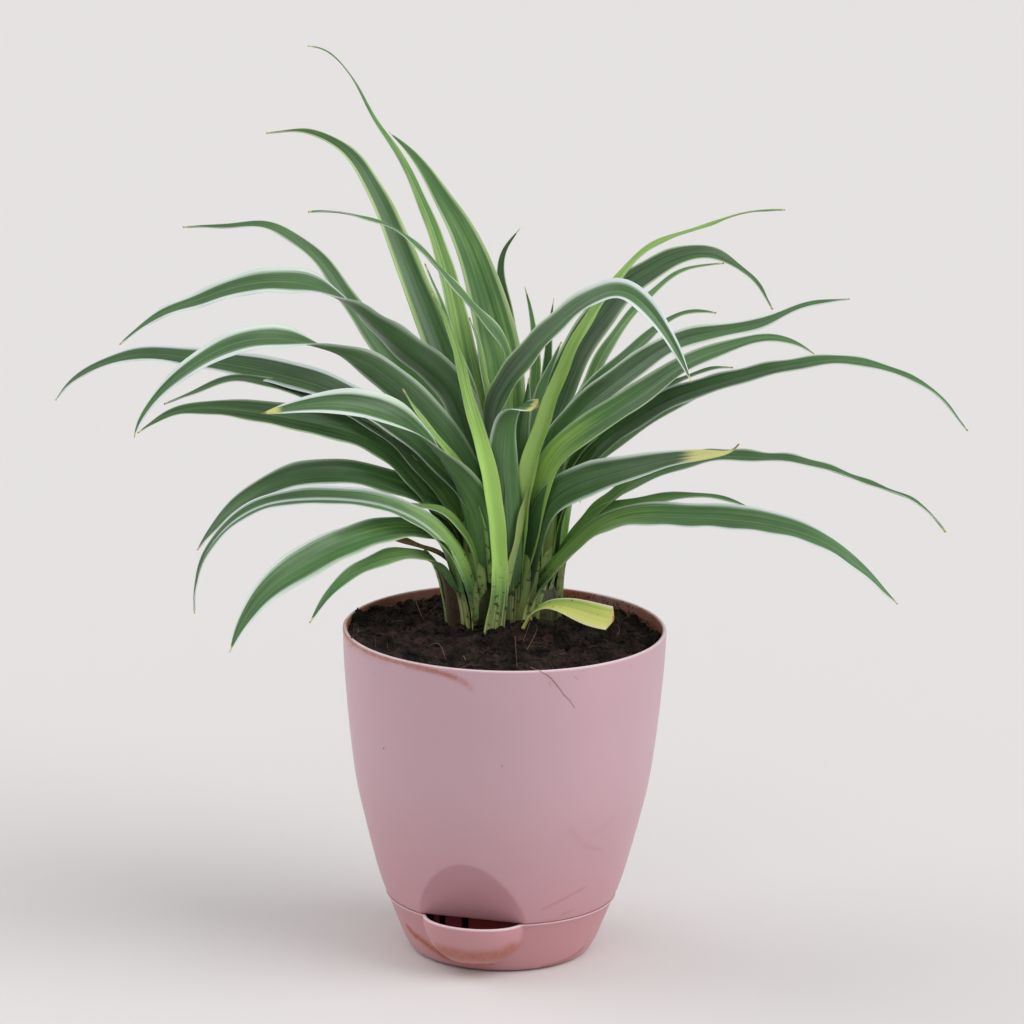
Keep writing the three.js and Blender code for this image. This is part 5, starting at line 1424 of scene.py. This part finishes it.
def leaf_stations(row, number):
    """What the midrib's points of one leaf carry, from its row and its looks."""
    name, width, taper_from, turns, points = row
    buried = [] if name in SHORT_LEAVES else [(points[0][0], points[0][1], points[0][2] - BURIED)]
    path, _ = evenly(smooth_line(buried + points), STATION)
    path = eased(path, 2.2)
    path, lengths = evenly(path, STATION)
    share = lengths / lengths[-1]
    to_tip = lengths[-1] - lengths
    heading = path[-1] - path[0]
    heading[2] = 0
    heading /= np.linalg.norm(heading)
    turned = spread(turns, share) * (1 if heading[0] < 0 else -1)
    turned = eased(turned[:, None], 4)[:, 0]
    across, up = midrib_frame(path, heading, turned)
    chance = random.Random(number * 17 + 5)
    if name in WIDTHS:
        shape = eased(spread(WIDTHS[name], share)[:, None], 3)[:, 0]
    else:
        rise = np.minimum(share / 0.22, 1)
        taper = np.clip((1 - share) / (1 - taper_from), 0, 1) ** TAPER.get(name, USUAL_TAPER)
        shape = (BASE_WIDTH + (1 - BASE_WIDTH) * rise) * taper
    half = np.maximum(TIP_WIDTH, width * shape) / 2
    half *= 1 + 0.03 * np.sin(lengths / 23 + chance.uniform(0, 6))
    half *= np.sqrt(np.clip(to_tip / 1.5, 0.04, 1))
    # The base clasps the crown as a gutter, and opens into a shallow channel by a third of the way out.
    opened = ramp(share, 0.02, 0.3)
    fold = CLASP_FOLD + (spread(FOLDS.get(name, OPEN_FOLD), share) - CLASP_FOLD) * opened
    grow = np.minimum(share * 3, 1)
    ripples = {}
    for label in ("ripple_left", "ripple_right"):
        wave, phase = chance.uniform(17, 30), chance.uniform(0, 6.3)
        size = chance.uniform(0.2, 0.5)
        ripples[label] = size * grow * np.sin(2 * math.pi * lengths / wave + phase)
    tone_and_shade, margin, white, band, yellow, brown = LOOKS.get(name, PLAIN)
    cut = name == "yellow_leaf"
    outward = ramp(lengths, *(CUT_MARGINS_GROW if cut else MARGINS_GROW))
    young = 0 if cut else 1 - ramp(lengths, *YOUNG_ENDS)
    # The foot, out of the light, is darkened by painted shade, and is pale olive and speckled with compost.
    foot = (1 - ramp(lengths, *FOOT_SHADE_ENDS)) * (name not in SHORT_LEAVES)
    yellowing = 1 - ramp(to_tip, yellow * 0.4, yellow * 1.3 + 1)
    drying = 1 - ramp(to_tip, brown * 0.5, brown * 1.5 + 1)
    return {
        "centre": path,
        "across_way": across,
        "up_way": up,
        "half_width": half,
        "fold": np.radians(fold),
        "roundness": 0.4 + (0.03 - 0.4) * opened,
        **ripples,
        "along": lengths,
        "seed": np.full(len(path), chance.uniform(0, 50)),
        # Tone with painted light and shade: brighter for young growth, darker where painted shade falls on
        # the foot.
        "tone_and_shade": spread(tone_and_shade, share) + YOUNG_BRIGHT * young - FOOT_SHADE * foot,
        "lean": np.full(len(path), LEAN.get(name, 0.0)),
        "margin": spread(margin, share) * outward + NO_MARGIN * (1 - outward),
        "white": spread(white, share),
        "band": band * ramp(share, 0.05, 0.3) * (1 - ramp(share, 0.75, 0.95)),
        "age": np.clip(0.62 * yellowing + 0.5 * drying, 0, 1) * (yellow > 0) + 0.35 * foot,
        "specks": (0.36 if cut else 0.45) * (1 - ramp(lengths, *SPECKS_END)),
    }


# The leaves whose slot, finish and thickness aren't those of the rest.
ODD_LEAVES = {
    "yellow_leaf": ("yellowed", YELLOWED, BLADE_THICK),
    "dried_leaf": ("dried", DRIED, DRIED_THICK),
}


def dress_leaves(tree):
    """Each leaf as a piece of its own."""
    for number, row in enumerate(LEAVES):
        name = row[0]
        slot, material, thickness = ODD_LEAVES.get(name, ("leaf", LIVING, BLADE_THICK))
        keep(swept_blade("fine_" + name, tree, leaf_stations(row, number), material, thickness), slot, name)


# ---------------------------------------------------------------- crowns
# Each crown: its node, its centre across and back, its radius, and how many leaf bases lap round it.
CROWNS = [("crown_left", -12, 14, 10.2, 7), ("crown_right", 12, 24, 10, 6)]
CROWN_COLUMNS = 168
CROWN_FOOT = 112
# Its outline, as shares of its radius by height.
CROWN_PROFILE = [(0.0, CROWN_FOOT), (0.55, CROWN_FOOT), (0.8, 120), (0.95, 128), (1, 136), (0.9, 144),
    (0.6, 150), (0, 153)]
OLD_BASE_THICK = 0.7
OLD_BASE_POINTS = 20
# Short old leaf bases clasping each crown in front and behind: crown, width, turns, brightness, which is
# partly painted shade, dryness, then points from the soil up.
OLD_BASES = [
    ("crown_left", 11, [10, 10], 0.3, 0.1, [(-21, 12, 128), (-22, 12, 138), (-24, 11, 148), (-27, 10, 157)]),
    ("crown_left", 13, [-20, -10], 0.1, 1.0, [(-21, 6, 127), (-21.8, 6, 141), (-23.5, 5.5, 150),
        (-26.5, 5, 157)]),
    ("crown_left", 13, [0, 0], 0.7, 0.0, [(-12, 4, 126), (-12, 3.5, 138), (-12.5, 5, 150), (-14, 9, 162),
        (-17, 13, 174)]),
    ("crown_left", 10, [-10, 0], 0.75, 0.0, [(-2, 5, 126), (0, 4.5, 138), (2.6, 5, 152), (5.6, 7, 166),
        (8.6, 9, 181), (11.6, 10, 196), (13.2, 10.3, 206), (14, 10.5, 212)]),
    ("crown_right", 11, [0, 0], 0.75, 0, [(6, 9, 126), (7, 9, 138), (8.5, 11, 150), (10, 14, 163),
        (12, 18, 174)]),
    ("crown_right", 10, [10, 10], 0.2, 0.1, [(18, 19, 126), (18.7, 19, 140), (18.8, 20, 156), (19.5, 20, 172),
        (21.5, 21, 184)]),
    ("crown_right", 10, [20, 20], 0.1, 0.2, [(23, 24, 126), (23.5, 24, 140), (24, 24, 152), (26, 24, 163)]),
    ("crown_right", 10, [0, 0], 0.5, 0, [(13.5, 14, 126), (14, 14, 140), (16, 17, 153), (19, 21, 166)]),
    ("crown_right", 12, [0, 0], 0.3, 0.1, [(16, 35, 126), (17, 36, 142), (19, 38, 156), (22, 41, 166)]),
    ("crown_right", 12, [0, 0], 0.3, 0.5, [(5, 36, 126), (4, 37, 142), (3, 40, 158), (2, 44, 168)]),
    ("crown_left", 12, [0, 0], 0.3, 0.1, [(-16, 25, 126), (-17, 27, 142), (-20, 30, 156), (-24, 33, 164)]),
    ("crown_left", 11, [0, 0], 0.2, 0.9, [(-5, 26, 126), (-5, 28, 140), (-6, 31, 152)]),
    ("crown_left", 11, [0, 0], 0.3, 0.2, [(-24, 18, 126), (-25.5, 18, 140), (-29, 19, 154), (-33, 20, 160)]),
]


def old_bases(name, centre, tree):
    """The short clasping bases of one crown, as separate blades."""
    made = []
    for number, (crown, width, turns, tone_and_shade, dryness, points) in enumerate(OLD_BASES):
        if crown != name:
            continue
        path, _ = evenly(smooth_line(points), STATION)
        path, lengths = evenly(eased(path, 2), STATION)
        share = lengths / lengths[-1]
        heading = np.append(path[len(path) // 2, :2] - centre, 0)
        heading /= np.linalg.norm(heading)
        across, up = midrib_frame(path, heading, spread(turns, share))
        # Dead bases end torn and narrow, living ones taper to a thin papery point.
        narrowing = 1 - ramp(share, 0.55, 1.0) * (0.55 if dryness > 0.5 else 0.85)
        count = len(path)
        made.append(swept_blade("old_base", tree, {
            "centre": path,
            "across_way": across,
            "up_way": up,
            "half_width": width * narrowing / 2,
            "fold": np.radians(52 - 22 * share),
            "roundness": np.full(count, 0.45),
            "ripple_left": 0.4 * np.sin(lengths / 3.1 + number),
            "ripple_right": 0.4 * np.sin(lengths / 3.7 + 2 * number),
            "along": lengths,
            "seed": np.full(count, 3.7 * number),
            "tone_and_shade": tone_and_shade + 0.35 * share,
            "margin": 0.12 * share - 0.08,
            "white": np.full(count, 0.3),
            "band": np.zeros(count),
            "age": np.full(count, float(dryness)),
            "specks": 0.46 * (1 - ramp(lengths, 20, 75)),
        }, SHEATH, OLD_BASE_THICK, OLD_BASE_POINTS))
    return made


def dress_crown(name, x, y, radius, flutes, tree):
    """A crown: a short dark stem, fluted where one leaf base laps the next, with its clasping old bases."""
    turns = np.linspace(0, 2 * math.pi, CROWN_COLUMNS, endpoint=False)
    profile, _ = evenly(smooth_line([(s * radius, z) for s, z in CROWN_PROFILE], 12), 1.2)
    rings = profile[1:-1]
    points = []
    for r, z in rings:
        for turn in turns:
            lap = (turn * flutes / (2 * math.pi) + x / (2 * math.pi) + 0.004 * (z - CROWN_FOOT)) % 1
            groove = 0.1 * math.exp(-((lap - 0.5) / 0.09) ** 2) + 0.05 * abs(lap - 0.5)
            reach = max(r, 0.05) * (1 - groove)
            points.append((x + reach * math.cos(turn), y + reach * math.sin(turn), z))
    faces = ring_quads(len(rings), CROWN_COLUMNS)
    points += [(x, y, CROWN_PROFILE[0][1]), (x, y, CROWN_PROFILE[-1][1])]
    faces += [(j, len(points) - 2, (j + 1) % CROWN_COLUMNS) for j in range(CROWN_COLUMNS)]
    top = (len(rings) - 1) * CROWN_COLUMNS
    faces += [(top + j, top + (j + 1) % CROWN_COLUMNS, len(points) - 1) for j in range(CROWN_COLUMNS)]
    place = np.asarray(points)
    turn = np.arctan2(place[:, 1] - y, place[:, 0] - x)
    lap = (turn * flutes / (2 * math.pi) + x / (2 * math.pi)) % 1
    nothing = np.zeros(len(points))
    stem = mesh_object("stem", points, faces, SHEATH, {
        "along": place[:, 2] - CROWN_FOOT,
        "seed": nothing + x,
        # The stem takes the darkest green of the sheath: painted shade deep among the leaf bases.
        "tone_and_shade": nothing,
        "margin": nothing - 0.3,
        "white": nothing,
        "band": nothing,
        "age": nothing + 0.08,
        "specks": 0.5 * (1 - ramp(place[:, 2], 132, 156)),
        "section": np.stack([lap * 2 - 1, nothing + 1, nothing], 1),
    })
    point_outwards(stem.data)
    keep(joined("fine_" + name, [stem, *old_bases(name, np.array([x, y]), tree)]), "crown", name)


# ---------------------------------------------------------------- studio
# Soft lights: name, azimuth from the front towards the right, elevation, strength, angle they spread over.
LIGHTS = [
    ("right softbox", 72, 37, 1.7, 52),
    ("left softbox", -105, 27, 1.1, 60),
    ("front softbox", 0, 50, 0.25, 50),
    ("top softbox", 0, 82, 0.25, 80),
]
WORLD_STRENGTH = 0.46
# Half the paper's side, in metres.
FLOOR_HALF = 9.0


def make_studio():
    """Pale seamless paper under even light."""
    _, shader, paper = new_material("studio paper")
    shader.inputs["Base Color"].default_value = colour("#e2dedd")
    shader.inputs["Roughness"].default_value = 0.95
    shader.inputs["Specular IOR Level"].default_value = 0.1
    mesh = bpy.data.meshes.new("floor")
    corners = [(x * FLOOR_HALF, y * FLOOR_HALF, 0) for x, y in ((-1, -1), (1, -1), (1, 1), (-1, 1))]
    mesh.from_pydata(corners, [], [(0, 1, 2, 3)])
    mesh.materials.append(paper)
    add_object("floor", mesh)
    world = bpy.data.worlds.new("studio")
    world.use_nodes = True
    sky = world.node_tree.nodes["Background"].inputs
    sky["Color"].default_value = colour("#f3f5f7")
    sky["Strength"].default_value = WORLD_STRENGTH
    bpy.context.scene.world = world
    for name, azimuth, elevation, strength, spread_angle in LIGHTS:
        light = bpy.data.lights.new(name, "SUN")
        light.energy = strength
        light.angle = math.radians(spread_angle)
        lamp = add_object(name, light)
        lamp.rotation_euler = (math.radians(90 - elevation), 0, math.radians(azimuth))
    bpy.context.scene.view_settings.view_transform = "Standard"


make_camera()
make_studio()
planter_pot()
water_tray()
dress_soil()
BLADE = blade_tree()
for crown in CROWNS:
    dress_crown(*crown, BLADE)
dress_leaves(BLADE)
